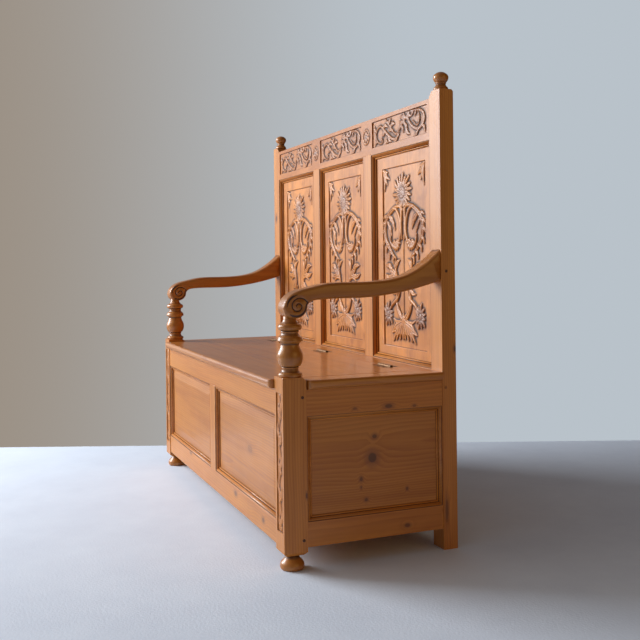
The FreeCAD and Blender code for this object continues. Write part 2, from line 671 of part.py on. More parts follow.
def back_rails():
    """The three rails of the back: the carved frieze, the seat rail and the rail of the box."""
    stub = s.stub_long + s.end_gap
    wide = s.back_muntin - 2 * s.tenon_inset
    rails = {}
    for (name, z, tall), label in zip(BACK_RAILS, ("back_top_rail", "back_seat_rail", "box_back_rail")):
        rail = long_rail(label, BACK_SPAN, BACK_FACE, z, s.back_thick, tall, BACK_TENON)
        for mark, side in (("Left", -1), ("Right", 1)):
            hole(rail, mark + "PegHole", (side * (BACK_SPAN / 2 + s.peg_in), s.back_deep, tall / 2),
                 s.peg, s.back_peg, "-Y")
        rails[name] = rail
    carved = (("Frieze", length(0), length(0)),
              ("SeatRail", s.seat_rail - s.groove_deep, s.seat_rail - stub))
    for name, groove_at, stub_at in carved:
        block(rails[name], "CarvedPanelGroove", (-BACK_SPAN / 2, s.back_mould, groove_at),
              (BACK_SPAN, s.carved_board, s.groove_deep), cut=True)
        for mark, side in (("Left", -1), ("Right", 1)):
            block(rails[name], mark + "MuntinMortise",
                  (side * BACK_PITCH / 2 - wide / 2, BACK_TENON, stub_at), (wide, s.tenon_thick, stub), cut=True)
    plain = (("SeatRail", length(0)), ("BoxRail", s.low_rail - s.groove_deep))
    for name, groove_at in plain:
        block(rails[name], "BoxPanelGroove", (-BACK_SPAN / 2, (s.back_thick - s.box_board) / 2, groove_at),
              (BACK_SPAN, s.box_board, s.groove_deep), cut=True)
    for bay in (-1, 0, 1):
        block(rails["Frieze"], "SunkField%d" % (bay + 2),
              (bay * BACK_PITCH - BACK_BAY / 2 + s.frieze_margin, 0, s.frieze_lift),
              (BACK_BAY - 2 * s.frieze_margin, s.frieze_sink, s.frieze_field), cut=True)


# Panels

def front_panel(side):
    """A fielded front panel, its origin on its face at the middle of its lower sight edge."""
    panel = body_at(side_name("front_panel", side), side * (FRONT_BAY + s.muntin_wide) / 2,
                    FRONT + s.setback + s.front_mould, OPENING_LOW)
    block(panel, "Board", (-FRONT_BAY / 2 - TONGUE, 0, -TONGUE),
          (FRONT_BAY + 2 * TONGUE, s.front_board, OPENING_TALL + 2 * TONGUE))
    field = panel.newObject("PartDesign::AdditiveWedge", "RaisedField")
    field.Placement = FreeCAD.Placement(FreeCAD.Vector(), FreeCAD.Rotation(FreeCAD.Vector(0, 0, 1), 180))
    margin = s.mould_wide + s.bevel
    faces = {
        "Xmin": s.mould_wide - FRONT_BAY / 2, "Xmax": FRONT_BAY / 2 - s.mould_wide,
        "Zmin": s.mould_wide, "Zmax": OPENING_TALL - s.mould_wide,
        "X2min": margin - FRONT_BAY / 2, "X2max": FRONT_BAY / 2 - margin,
        "Z2min": margin, "Z2max": OPENING_TALL - margin,
        "Ymin": length(0), "Ymax": s.raised,
    }
    for path, formula in faces.items():
        bind(field, path, formula)


def end_panel(side):
    """A flat end panel in its grooves, its origin at the front of its lower sight edge."""
    panel = body_at(side_name("end_panel", side), side * (s.width / 2 - s.setback - s.end_mould),
                    FRONT + s.front_post, OPENING_LOW)
    block(panel, "Board", (-s.end_board, -TONGUE, -TONGUE),
          (s.end_board, END_SPAN + 2 * TONGUE, OPENING_TALL + 2 * TONGUE), side=side)


def carved_panel(bay, name):
    """A panel of the back with its sunk field, its origin at the middle of its lower sight edge."""
    panel = body_at("back_panel_" + name, bay * BACK_PITCH, BACK_FACE + s.back_mould, s.seat_high)
    block(panel, "Board", (-BACK_BAY / 2 - TONGUE, 0, -TONGUE),
          (BACK_BAY + 2 * TONGUE, s.carved_board, BACK_OPENING + 2 * TONGUE))
    block(panel, "SunkField", (-s.field_wide / 2, 0, s.back_mould_wide + s.field_lift),
          (s.field_wide, s.field_sink, FIELD_TALL), cut=True)


def box_back_panel():
    """The plain panel that closes the back of the box."""
    panel = body_at("box_back_panel", 0, BACK_FACE + (s.back_thick - s.box_board) / 2, OPENING_LOW)
    block(panel, "Board", (-BACK_SPAN / 2 - TONGUE, 0, -TONGUE),
          (BACK_SPAN + 2 * TONGUE, s.box_board, BOX_BACK_TALL + 2 * TONGUE))


# Mouldings

def moulding_strip(long, wide, deep):
    """One mitred strip along X, its back edge on the opening's edge at Z = 0."""
    def at(across, down):
        return FreeCAD.Vector(-long / 2, deep * down, wide * across)

    curves = [
        Part.LineSegment(at(0, 0), at(0.16, 0)),
        Part.LineSegment(at(0.16, 0), at(0.2, 0.14)),
        Part.Arc(at(0.2, 0.14), at(0.52, 0.3), at(0.66, 0.66)),
        Part.LineSegment(at(0.66, 0.66), at(0.68, 0.78)),
        Part.Arc(at(0.68, 0.78), at(0.86, 0.68), at(0.99, 0.9)),
        Part.LineSegment(at(0.99, 0.9), at(0.99, 1)),
        Part.LineSegment(at(0.99, 1), at(0, 1)),
        Part.LineSegment(at(0, 1), at(0, 0)),
    ]
    strip = Part.Face(Part.Wire([curve.toShape() for curve in curves])).extrude(FreeCAD.Vector(long, 0, 0))
    half = long / 2
    corners = [(-half, 0), (half, 0), (half - wide, wide), (wide - half, wide), (-half, 0)]
    mitre = Part.Face(Part.makePolygon([FreeCAD.Vector(x, -1, z) for x, z in corners]))
    return strip.common(mitre.extrude(FreeCAD.Vector(0, deep + 2, 0)))


def moulding_frame(wide, tall, across, deep):
    """Four mitred strips round an opening, its origin at the middle of the lower edge."""
    wide, tall, across, deep = (float(value) for value in (wide, tall, across, deep))
    middle = FreeCAD.Vector(0, 0, tall / 2)
    strips = []
    for turn, long, reach in ((0, wide, tall), (90, tall, wide), (180, wide, tall), (270, tall, wide)):
        strip = moulding_strip(long, across, deep)
        strip.translate(FreeCAD.Vector(0, 0, tall / 2 - reach / 2))
        strip.rotate(middle, FreeCAD.Vector(0, 1, 0), turn)
        strips.append(strip)
    return Part.makeCompound(strips)


# The seat

def nose_outline(sketch, inner, outer, thick):
    """The cross-section of a seat board from its inner edge to its rounded outer edge."""
    reach = s.nosing if float(outer) > float(inner) else -s.nosing
    arch = 0.29289 * s.nosing
    arch = arch if float(outer) > float(inner) else -arch
    outline(sketch, [
        (inner, 0, 0),
        (outer - reach, 0, arch),
        (outer, s.nosing, 0),
        (outer, thick - s.nosing, arch),
        (outer - reach, thick, 0),
        (inner, thick, 0),
    ])


def corner_outline(sketch, x, y, inward_x, inward_y):
    """The waste outside a rounded corner of a seat board, seen from above."""
    over = 2
    arch = 0.29289 * s.corner * (inward_x * inward_y)
    outline(sketch, [
        (x - over * inward_x, y - over * inward_y, 0),
        (x - over * inward_x, y + inward_y * s.corner, 0),
        (x, y + inward_y * s.corner, arch),
        (x + inward_x * s.corner, y, 0),
        (x + inward_x * s.corner, y - over * inward_y, 0),
    ])


def hinge_places():
    """The middles of the three hinges along X."""
    return (("Left", -HINGE_OUT), ("Middle", length(0)), ("Right", HINGE_OUT))


def hinge_cuts(board, way):
    """Let the hinges into a seat board; way is +1 behind the hinge axis and -1 before it."""
    gap = s.hinge_gap / 2
    flap = s.leaf_wide - gap
    room = s.knuckle + s.knuckle_room
    for name, x in hinge_places():
        y = length(0) if way > 0 else -flap
        block(board, name + "LeafRecess", (x - s.leaf_long / 2, y, s.seat_thick - s.leaf_thick),
              (s.leaf_long, flap, s.leaf_thick), cut=True)
        hole(board, name + "KnuckleRoom",
             (x - s.leaf_long / 2 - 2 * s.pin_cap, -way * gap, s.seat_thick + s.knuckle_lift),
             room, s.leaf_long + 4 * s.pin_cap, "+X")
        for number in (-1, 0, 1):
            hole(board, "%sScrewHole%d" % (name, number + 2),
                 (x + number * s.screw_row, way * (flap - s.screw_in), s.seat_thick - s.screw_long),
                 s.screw, s.screw_long, "+Z")


def lid():
    """The hinged lid, its origin in the middle of its lower rear edge."""
    board = body_at("lid", 0, LID_BACK, SEAT_UNDER)
    section = sketch_on(board, "Section", "YZ_Plane")
    nose_outline(section, length(0), -LID_DEEP, s.seat_thick)
    pad = board.newObject("PartDesign::Pad", "Board")
    pad.Profile = section
    pad.SideType = "Symmetric"
    bind(pad, "Length", 2 * LID_HALF)
    waste = sketch_on(board, "RoundedCorners", "XY_Plane")
    corner_outline(waste, -LID_HALF, -LID_DEEP, 1, 1)
    corner_outline(waste, LID_HALF, -LID_DEEP, -1, 1)
    pocket = board.newObject("PartDesign::Pocket", "Corners")
    pocket.Profile = waste
    pocket.Type = "ThroughAll"
    pocket.Reversed = True
    hinge_cuts(board, -1)


def batten(side):
    """A batten screwed under the lid, its origin in the middle of its front end."""
    strip = body_at(side_name("lid_batten", side), side * (LID_HALF - s.batten_end), FRONT + s.front_post,
                    SEAT_UNDER - s.batten_thick)
    block(strip, "Batten", (-s.batten_wide / 2, 0, 0), (s.batten_wide, BATTEN_LONG, s.batten_thick))


def end_strip(side):
    """A fixed strip of the seat under an arm, its origin at its rear end above the inner edge."""
    inner = side * (s.width / 2 - s.front_post)
    strip = body_at(side_name("seat_end_strip", side), inner, BACK_FACE, SEAT_UNDER)
    section = sketch_on(strip, "Section", "XZ_Plane")
    outer = side * (s.front_post + s.strip_over)
    nose_outline(section, length(0), outer, s.seat_thick)
    pad = strip.newObject("PartDesign::Pad", "Board")
    pad.Profile = section
    bind(pad, "Length", END_SPAN - s.strip_gap)
    waste = sketch_on(strip, "RoundedCorner", "XY_Plane")
    corner_outline(waste, outer, s.strip_gap - END_SPAN, -side, 1)
    pocket = strip.newObject("PartDesign::Pocket", "Corner")
    pocket.Profile = waste
    pocket.Type = "ThroughAll"
    pocket.Reversed = True


def rear_strip():
    """The fixed strip behind the lid, its origin in the middle of its lower front edge."""
    board = body_at("seat_rear_strip", 0, HINGE_Y + s.hinge_gap / 2, SEAT_UNDER)
    half = s.width / 2 - s.front_post
    block(board, "Board", (-half, 0, 0), (2 * half, s.hinge_line - s.hinge_gap / 2, s.seat_thick))
    hinge_cuts(board, 1)


def ledger():
    """The ledger that carries the rear strip along the seat rail."""
    strip = body_at("seat_ledger", 0, BACK_FACE - s.ledger, SEAT_UNDER - s.ledger_tall)
    block(strip, "Ledger", (-BACK_SPAN / 2, 0, 0), (BACK_SPAN, s.ledger, s.ledger_tall))


# The floor of the box

def box_floor():
    """Boards laid from front to back on two bearers; the end boards are notched round the posts."""
    inner = FRONT + s.setback + s.rail_thick
    for label, y, half in (("floor_bearer_front", inner, FRONT_SPAN / 2),
                           ("floor_bearer_rear", BACK_FACE - s.bearer, BACK_SPAN / 2)):
        strip = body_at(label, 0, y, RAIL_BASE)
        block(strip, "Bearer", (-half, 0, 0), (2 * half, s.bearer, s.bearer))
    half = s.width / 2 - s.setback - s.rail_thick - s.floor_gap
    wide = (2 * half - (FLOOR_BOARDS - 1) * s.floor_gap) / FLOOR_BOARDS
    long = BACK_FACE - inner - 2 * s.floor_gap
    notch_wide = half - FRONT_SPAN / 2 + s.floor_gap
    notch_deep = s.front_post - s.setback - s.rail_thick
    for number in range(FLOOR_BOARDS):
        board = body_at("floor_board_%d" % (number + 1), number * (wide + s.floor_gap) - half,
                        inner + s.floor_gap, RAIL_BASE + s.bearer)
        block(board, "Board", (0, 0, 0), (wide, long, s.floor_board))
        if number == 0:
            block(board, "PostNotch", (0, 0, 0), (notch_wide, notch_deep, s.floor_board), cut=True)
        if number == FLOOR_BOARDS - 1:
            block(board, "PostNotch", (wide - notch_wide, 0, 0), (notch_wide, notch_deep, s.floor_board),
                  cut=True)


# Hinges, screws and pegs

def each_hinge(make):
    """The same solids at each of the three hinges, in one compound."""
    solids = []
    for _, x in hinge_places():
        for solid in make():
            solid.translate(FreeCAD.Vector(float(x), 0, 0))
            solids.append(solid)
    return Part.makeCompound(solids)


def along(start, long, radius):
    """A cylinder along X that starts at a place on the hinge axis."""
    return Part.makeCylinder(radius, long, FreeCAD.Vector(start, 0, 0), FreeCAD.Vector(1, 0, 0))


def hinge_leaf(way):
    """A hinge leaf with its knuckles; way is +1 for the seat's leaf and -1 for the lid's."""
    long = float(s.leaf_long)
    thick = float(s.leaf_thick)
    wide = float(s.leaf_wide)
    top = -float(s.knuckle_lift)
    radius = float(s.knuckle)
    gap = float(s.knuckle_gap)
    share = long / 5
    plate = Part.makeBox(long, wide, thick, FreeCAD.Vector(-long / 2, 0 if way > 0 else -wide, top - thick))
    own = (0, 2, 4) if way > 0 else (1, 3)
    room = radius + 2 * gap
    for number in range(5):
        start = -long / 2 + number * share
        if number in own:
            plate = plate.fuse(along(start + gap / 2, share - gap, radius))
        else:
            plate = plate.cut(Part.makeBox(share + gap, 2 * room, 4 * radius,
                                           FreeCAD.Vector(start - gap / 2, -room, -2 * radius)))
    leaf = plate.cut(along(-long, 2 * long, float(s.pin + s.pin_fit)))
    for x, y in screw_places(way):
        leaf = leaf.cut(screw_solid(x, y, 0.1))
    return [leaf]


def screw_places(way):
    """The places of a leaf's screws from the hinge axis."""
    y = way * float(s.leaf_wide - s.screw_in)
    return [(number * float(s.screw_row), y) for number in (-1, 0, 1)]


def screw_solid(x, y, room=0.0):
    """A countersunk screw from its place, with some room round it for its hole."""
    top = -float(s.knuckle_lift)
    head = float(s.leaf_thick)
    shank = float(s.screw) + room
    cone = Part.makeCone(shank, float(s.screw_head) + room, head, FreeCAD.Vector(x, y, top - head))
    stem = Part.makeCylinder(shank, float(s.screw_long), FreeCAD.Vector(x, y, top - float(s.screw_long)))
    return cone.fuse(stem)


def screws(way):
    """The screws of a leaf."""
    return [screw_solid(x, y) for x, y in screw_places(way)]


def hinge_pin():
    """A hinge pin with a head at each end."""
    long = float(s.leaf_long)
    cap = float(s.pin_cap)
    pin = along(-long / 2 - cap, long + 2 * cap, float(s.pin))
    for start in (-long / 2 - cap, long / 2):
        pin = pin.fuse(along(start, cap, float(s.pin_head)))
    return [pin]


def frame_pegs():
    """The pegs that lock the tenons of the end rails, the back rails and the arms."""
    pegs = []

    def peg(x, y, z, axis, long):
        start = FreeCAD.Vector(float(x), float(y), float(z))
        pegs.append(Part.makeCylinder(float(s.peg), float(long), start, axis))

    for side in (-1, 1):
        inward = FreeCAD.Vector(-side, 0, 0)
        outer = side * s.width / 2
        for _, height in PEG_HEIGHTS:
            peg(outer, s.front_post - s.peg_in, height, inward, s.peg_long)
            peg(outer, s.front_post + END_SPAN + s.peg_in, height, inward, s.peg_long)
        peg(outer, s.front_post + END_SPAN + ARM_PEG_IN, ARM_PEG_HIGH, inward, s.back_peg)
        for _, base, tall in BACK_RAILS:
            peg(side * (BACK_SPAN / 2 + s.peg_in), s.depth, base + tall / 2, FreeCAD.Vector(0, -1, 0),
                s.back_peg)
    return Part.makeCompound(pegs)


def build():
    """Make every piece of the bench."""
    for side in (-1, 1):
        front_post(side)
        foot(side)
        arm_support(side)
        feature(side_name("arm", side), arm_shape(side), side * ARM_X, FRONT, 0)
        back_post(side)
        finial(side)
        end_rails(side)
        end_panel(side)
        front_panel(side)
        end_strip(side)
        batten(side)
        muntin(side_name("back_muntin", side), side * BACK_PITCH / 2, BACK_FACE, s.seat_high,
               (s.back_muntin, s.back_thick, BACK_OPENING), s.back_mould, s.carved_board)
        frame = feature(side_name("end_panel_mouldings", side),
                        moulding_frame(END_SPAN, OPENING_TALL, s.mould_wide, s.end_mould))
        quarter = FreeCAD.Rotation(FreeCAD.Vector(0, 0, 1), side * 90)
        frame.Placement = FreeCAD.Placement(FreeCAD.Vector(), quarter)
        place(frame, side * (s.width / 2 - s.setback), FRONT + s.front_post + END_SPAN / 2, OPENING_LOW)
        feature(side_name("front_panel_mouldings", side),
                moulding_frame(FRONT_BAY, OPENING_TALL, s.mould_wide, s.front_mould),
                side * (FRONT_BAY + s.muntin_wide) / 2, FRONT + s.setback, OPENING_LOW)
    front_rails()
    muntin("front_muntin", 0, FRONT + s.setback, OPENING_LOW, (s.muntin_wide, s.rail_thick, OPENING_TALL),
           s.front_mould, s.front_board)
    back_rails()
    for bay, name in ((-1, "left"), (0, "middle"), (1, "right")):
        carved_panel(bay, name)
        feature("back_panel_mouldings_" + name,
                moulding_frame(BACK_BAY, BACK_OPENING, s.back_mould_wide, s.back_mould),
                bay * BACK_PITCH, BACK_FACE, s.seat_high)
    box_back_panel()
    box_floor()
    lid()
    rear_strip()
    ledger()
    feature("hinge_seat_leaves", each_hinge(lambda: hinge_leaf(1)), 0, HINGE_Y, AXIS_Z)
    feature("hinge_lid_leaves", each_hinge(lambda: hinge_leaf(-1)), 0, HINGE_Y, AXIS_Z)
    feature("hinge_pins", each_hinge(hinge_pin), 0, HINGE_Y, AXIS_Z)
    feature("hinge_seat_screws", each_hinge(lambda: screws(1)), 0, HINGE_Y, AXIS_Z)
    feature("hinge_lid_screws", each_hinge(lambda: screws(-1)), 0, HINGE_Y, AXIS_Z)
    feature("frame_pegs", frame_pegs(), 0, FRONT, 0)


def check():
    """Stop if any object failed or any piece has no sound shape."""
    for item in doc.Objects:
        if "Invalid" in item.State or "Error" in item.State:
            raise RuntimeError("failed: %s of %s" % (item.Name, [parent.Name for parent in item.InList]))
    for item in PIECES:
        if item.Shape.isNull() or not item.Shape.isValid() or item.Shape.Volume <= 0:
            raise RuntimeError("no sound shape: " + item.Label)


build()
doc.recompute()
check()
os.makedirs("parts", exist_ok=True)
for item in PIECES:
    item.Shape.exportStep(os.path.join("parts", item.Label + ".step"))
print("%d pieces" % len(PIECES))
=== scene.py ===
"""Dresses the settle bench: waxed pine with carved relief, brass hinges, floor, lamps and camera."""

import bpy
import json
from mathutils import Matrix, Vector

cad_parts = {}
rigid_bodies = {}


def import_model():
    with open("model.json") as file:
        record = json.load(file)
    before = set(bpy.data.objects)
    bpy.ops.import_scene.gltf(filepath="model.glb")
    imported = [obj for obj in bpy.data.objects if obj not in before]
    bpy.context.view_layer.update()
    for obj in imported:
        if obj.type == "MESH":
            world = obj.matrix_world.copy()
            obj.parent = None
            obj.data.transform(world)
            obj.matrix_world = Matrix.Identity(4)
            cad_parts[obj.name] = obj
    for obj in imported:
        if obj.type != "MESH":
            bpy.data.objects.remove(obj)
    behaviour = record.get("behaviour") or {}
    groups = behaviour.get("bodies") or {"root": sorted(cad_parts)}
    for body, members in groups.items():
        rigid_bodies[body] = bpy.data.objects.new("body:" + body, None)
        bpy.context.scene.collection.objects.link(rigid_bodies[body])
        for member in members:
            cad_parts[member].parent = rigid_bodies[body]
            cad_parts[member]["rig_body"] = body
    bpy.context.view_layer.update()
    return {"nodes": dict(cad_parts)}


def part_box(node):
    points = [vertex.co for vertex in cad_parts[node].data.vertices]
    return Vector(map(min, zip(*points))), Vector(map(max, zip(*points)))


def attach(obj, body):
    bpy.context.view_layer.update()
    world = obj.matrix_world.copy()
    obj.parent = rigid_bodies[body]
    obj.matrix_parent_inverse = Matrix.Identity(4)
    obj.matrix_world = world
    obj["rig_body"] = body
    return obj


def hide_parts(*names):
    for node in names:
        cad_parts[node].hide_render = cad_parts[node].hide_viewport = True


bl_info = {
    "name": "Settle Bench",
    "version": (1, 0, 0),
    "blender": (4, 5, 0),
    "location": "3D View > Sidebar > Settle",
    "description": "Finishes a carved pine settle with a hinged box seat",
    "category": "Object",
}

import json
import math

import bmesh
import bpy
import numpy as np
from mathutils import Matrix, Vector

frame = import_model()
MM = 0.001

# Places taken from the frame

POST_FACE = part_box("front_post_left")[0].y
SEAT_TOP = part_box("lid")[1].z
BACK_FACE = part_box("back_top_rail")[0].y
SIDES = ("left", "right")
BAYS = ("left", "middle", "right")

# Width and height of the carved fields, in millimetres

PANEL_FIELD = (257, 510)
FRIEZE_FIELD = (333, 76)
STRIP_FIELD = (40, 332)
ROSETTE_FIELD = (56, 56)

# Middles of these fields above the seat, the top rail's underside and a front post's lower end

PANEL_MIDDLE = 295 * MM
FRIEZE_MIDDLE = 55 * MM
STRIP_MIDDLE = 220 * MM

# Ground of the carving behind the face of its board, and the depth of its flat back in the wood

FIELD_SINK = 3.95 * MM
STRIP_SINK = 2.95 * MM
ROSETTE_LIFT = 0.05 * MM
RELIEF_BACK = 0.8 * MM

# Eye of an arm's scroll behind and above the arm's lowest corner, and how far its spiral reaches

SCROLL_EYE = (35 * MM, 29 * MM)
SCROLL_REACH = 28 * MM

# Distance under which loose points are joined

WELD = 0.01 * MM


# Settings

class SettleWear(bpy.types.PropertyGroup):
    """How far the wood is worn and how deep it is carved."""

    post_round: bpy.props.FloatProperty(
        name="Post Edges", description="Rounding of the long edges of the posts",
        default=2.2 * MM, min=0, subtype="DISTANCE")
    board_round: bpy.props.FloatProperty(
        name="Board Edges", description="Rounding of the edges of rails and boards",
        default=0.9 * MM, min=0, subtype="DISTANCE")
    seat_round: bpy.props.FloatProperty(
        name="Seat Edges", description="Rounding of the sharp edges of the seat",
        default=1.4 * MM, min=0, subtype="DISTANCE")
    panel_rise: bpy.props.FloatProperty(
        name="Panel Relief", description="Height of the carving of the panels above its ground",
        default=5.2 * MM, min=0, subtype="DISTANCE")
    frieze_rise: bpy.props.FloatProperty(
        name="Frieze Relief", description="Height of the carving of the top rail above its ground",
        default=4.4 * MM, min=0, subtype="DISTANCE")
    strip_rise: bpy.props.FloatProperty(
        name="Strip Relief", description="Height of the carving of the front posts above its ground",
        default=2.8 * MM, min=0, subtype="DISTANCE")
    rosette_rise: bpy.props.FloatProperty(
        name="Rosette Relief", description="Height of the rosettes above the top rail",
        default=2.8 * MM, min=0, subtype="DISTANCE")
    carving_step: bpy.props.FloatProperty(
        name="Carving Step", description="Spacing of the points of a carved surface",
        default=1.45 * MM, min=0.5 * MM, subtype="DISTANCE")
    spiral_deep: bpy.props.FloatProperty(
        name="Spiral Groove", description="Depth of the spiral in the sides of the arms' scrolls",
        default=2.0 * MM, min=0, subtype="DISTANCE")
    peg_proud: bpy.props.FloatProperty(
        name="Peg Heads", description="Height of the pegs above the wood",
        default=0.7 * MM, min=0, subtype="DISTANCE")


class SettleColours(bpy.types.PropertyGroup):
    """The colours of the wood and the metal."""

    honey: bpy.props.FloatVectorProperty(
        name="Honey Pine", description="The soft wood between the year rings",
        default=(0.60, 0.225, 0.034), subtype="COLOR", min=0, max=1)
    amber: bpy.props.FloatVectorProperty(
        name="Amber Pine", description="The hard wood of the year rings",
        default=(0.375, 0.100, 0.009), subtype="COLOR", min=0, max=1)
    # Grey-lilac tint: old wax bloom, and a painted sheen of cool light on the raised carving and the
    # mouldings' crests
    bloom_and_sheen: bpy.props.FloatVectorProperty(
        name="Bloom", description="Grey bloom of old wax on the carving",
        default=(0.205, 0.105, 0.078), subtype="COLOR", min=0, max=1)
    # Dark colour of the hollows: painted shade where they fall in shadow, and old wax and dust
    hollow_shade_and_dirt: bpy.props.FloatVectorProperty(
        name="Patina", description="Old wax and dust in the hollows",
        default=(0.052, 0.016, 0.008), subtype="COLOR", min=0, max=1)
    knot: bpy.props.FloatVectorProperty(
        name="Knots", description="The knots",
        default=(0.105, 0.034, 0.012), subtype="COLOR", min=0, max=1)
    brass: bpy.props.FloatVectorProperty(
        name="Brass", description="The dull brass of the hinges",
        default=(0.30, 0.16, 0.075), subtype="COLOR", min=0, max=1)
    iron: bpy.props.FloatVectorProperty(
        name="Iron", description="The screws and the pins",
        default=(0.050, 0.040, 0.030), subtype="COLOR", min=0, max=1)


class SettleStage(bpy.types.PropertyGroup):
    """The room and the camera."""

    floor_colour: bpy.props.FloatVectorProperty(
        name="Floor", description="Colour of the floor",
        default=(0.72, 0.79, 0.93), subtype="COLOR", min=0, max=1)
    wall_left: bpy.props.FloatVectorProperty(
        name="Wall Left", description="Colour of the wall on the left",
        default=(0.325, 0.275, 0.225), subtype="COLOR", min=0, max=1)
    wall_right: bpy.props.FloatVectorProperty(
        name="Wall Right", description="Colour of the wall on the right",
        default=(0.485, 0.54, 0.59), subtype="COLOR", min=0, max=1)
    wall_away: bpy.props.FloatProperty(
        name="Wall Distance", description="Distance of the wall from the camera",
        default=3.62, min=0, subtype="DISTANCE")
    camera_place: bpy.props.FloatVectorProperty(
        name="Camera Place", description="Place of the camera",
        default=(2.628, -0.9357, 0.7319), subtype="TRANSLATION")
    camera_azimuth: bpy.props.FloatProperty(
        name="Camera Azimuth", description="Turn of the camera from the +Y axis towards -X",
        default=math.radians(67.93), subtype="ANGLE")
    camera_roll: bpy.props.FloatProperty(
        name="Camera Roll", description="Turn of the camera about its own axis",
        default=math.radians(-0.637), subtype="ANGLE")
    camera_lens: bpy.props.FloatProperty(
        name="Lens", description="Focal length on a 36 mm sensor",
        default=50.32, subtype="DISTANCE_CAMERA")
    camera_shift: bpy.props.FloatProperty(
        name="Shift", description="Vertical shift of the lens",
        default=-0.0891)


# Nodes

def put_node(tree, kind, settings, inputs):
    """Add a node with its settings first and then its inputs, by place or by name.

    An input is a number, a socket, or a list of sockets that all go to it.
    """
    node = tree.nodes.new(kind)
    for key, value in settings.items():
        setattr(node, key, value)
    for key, value in inputs.items() if isinstance(inputs, dict) else enumerate(inputs):
        for entry in value if isinstance(value, list) else [value]:
            if isinstance(entry, bpy.types.NodeSocket):
                tree.links.new(entry, node.inputs[key])
            else:
                node.inputs[key].default_value = entry
    return node


# Shader nodes written as expressions

class Value:
    """A socket of a node tree that adds Math nodes when it is used in an expression."""

    def __init__(self, shader, socket):
        self.shader = shader
        self.socket = socket

    def math(self, operation, *inputs):
        return self.shader.add("ShaderNodeMath", {"operation": operation}, inputs)

    def __add__(self, other):
        return self.math("ADD", self, other)

    def __sub__(self, other):
        return self.math("SUBTRACT", self, other)

    def __rsub__(self, other):
        return self.math("SUBTRACT", other, self)

    def __mul__(self, other):
        return self.math("MULTIPLY", self, other)

    def __truediv__(self, other):
        return self.math("DIVIDE", self, other)

    __radd__ = __add__
    __rmul__ = __mul__

    def fraction(self):
        return self.math("FRACT", self)

    def root(self):
        return self.math("SQRT", self)

    def larger(self, other):
        return self.math("MAXIMUM", self, other)

    def clamped(self):
        return self.shader.add("ShaderNodeClamp", {}, [self])

    def step(self, low, high):
        """0 below low, 1 above high and a smooth rise between them."""
        settings = {"interpolation_type": "SMOOTHSTEP"}
        return self.shader.add("ShaderNodeMapRange", settings, [self, low, high, 0.0, 1.0])


class Shader:
    """The node tree of a material or of the world."""

    def __init__(self, owner):
        self.owner = owner
        owner.use_nodes = True
        self.tree = owner.node_tree
        self.tree.nodes.clear()

    def add(self, kind, settings=None, inputs=(), output=0):
        """Add a node and return one of its outputs."""
        if isinstance(inputs, dict):
            inputs = {key: self.plain(value) for key, value in inputs.items()}
        else:
            inputs = [self.plain(value) for value in inputs]
        node = put_node(self.tree, kind, settings or {}, inputs)
        return Value(self, node.outputs[output])

    def plain(self, value):
        """The socket of a value, or the number itself."""
        return value.socket if isinstance(value, Value) else value

    def mix(self, factor, low, high):
        """Mix two colours."""
        low = low if isinstance(low, Value) else (*low, 1.0)
        high = high if isinstance(high, Value) else (*high, 1.0)
        return self.add("ShaderNodeMix", {"data_type": "RGBA"}, {0: factor, 6: low, 7: high}, output=2)

    def shade(self, colour, factor):
        """Make a colour darker or lighter by a factor."""
        grey = self.add("ShaderNodeCombineXYZ", {}, [factor, factor, factor])
        return self.add("ShaderNodeVectorMath", {"operation": "MULTIPLY"}, [colour, grey])

    def vector(self, x, y, z):
        return self.add("ShaderNodeCombineXYZ", {}, [x, y, z])

    def parts(self, vector):
        """The three numbers of a vector."""
        node = self.tree.nodes.new("ShaderNodeSeparateXYZ")
        self.tree.links.new(vector.socket, node.inputs[0])
        return tuple(Value(self, socket) for socket in node.outputs)

    def noise(self, place, scale, detail=3.0, rough=0.55):
        """Noise between 0 and 1."""
        inputs = {"Vector": place, "Scale": scale, "Detail": detail, "Roughness": rough}
        return self.add("ShaderNodeTexNoise", {}, inputs)

    def grain_noise(self, grain, along, across, detail=2.0, rough=0.55):
        """Noise stretched along the grain: its scale along the grain and across it."""
        place = self.vector(grain[0] * along, grain[1] * across, grain[2] * across)
        return self.noise(place, 1.0, detail, rough)

    def place(self):
        """The place of a point of the object."""
        return self.add("ShaderNodeTexCoord", {}, output=3)

    def attribute(self, name, output=2):
        """A number (output 2) or a vector (output 1) kept on the mesh."""
        return self.add("ShaderNodeAttribute", {"attribute_name": name}, output=output)

    def output(self, kind, surface):
        """Wire the surface to the output and return the material or the world."""
        end = self.tree.nodes.new(kind)
        self.tree.links.new(surface.socket, end.inputs["Surface"])
        return self.owner

    def finish(self, colour, roughness, bump, bump_height, **numbers):
        """Wire a surface with its colour, roughness and bump, and return the material."""
        height = {"Strength": 1.0, "Distance": bump_height, "Height": bump}
        normal = self.add("ShaderNodeBump", {}, height)
        inputs = {"Base Color": colour, "Roughness": roughness, "Normal": normal, **numbers}
        return self.output("ShaderNodeOutputMaterial", self.add("ShaderNodeBsdfPrincipled", {}, inputs))


# Materials

def toned(colour, factor):
    """A plain colour made lighter or darker by a factor."""
    return tuple(channel * factor for channel in colour)


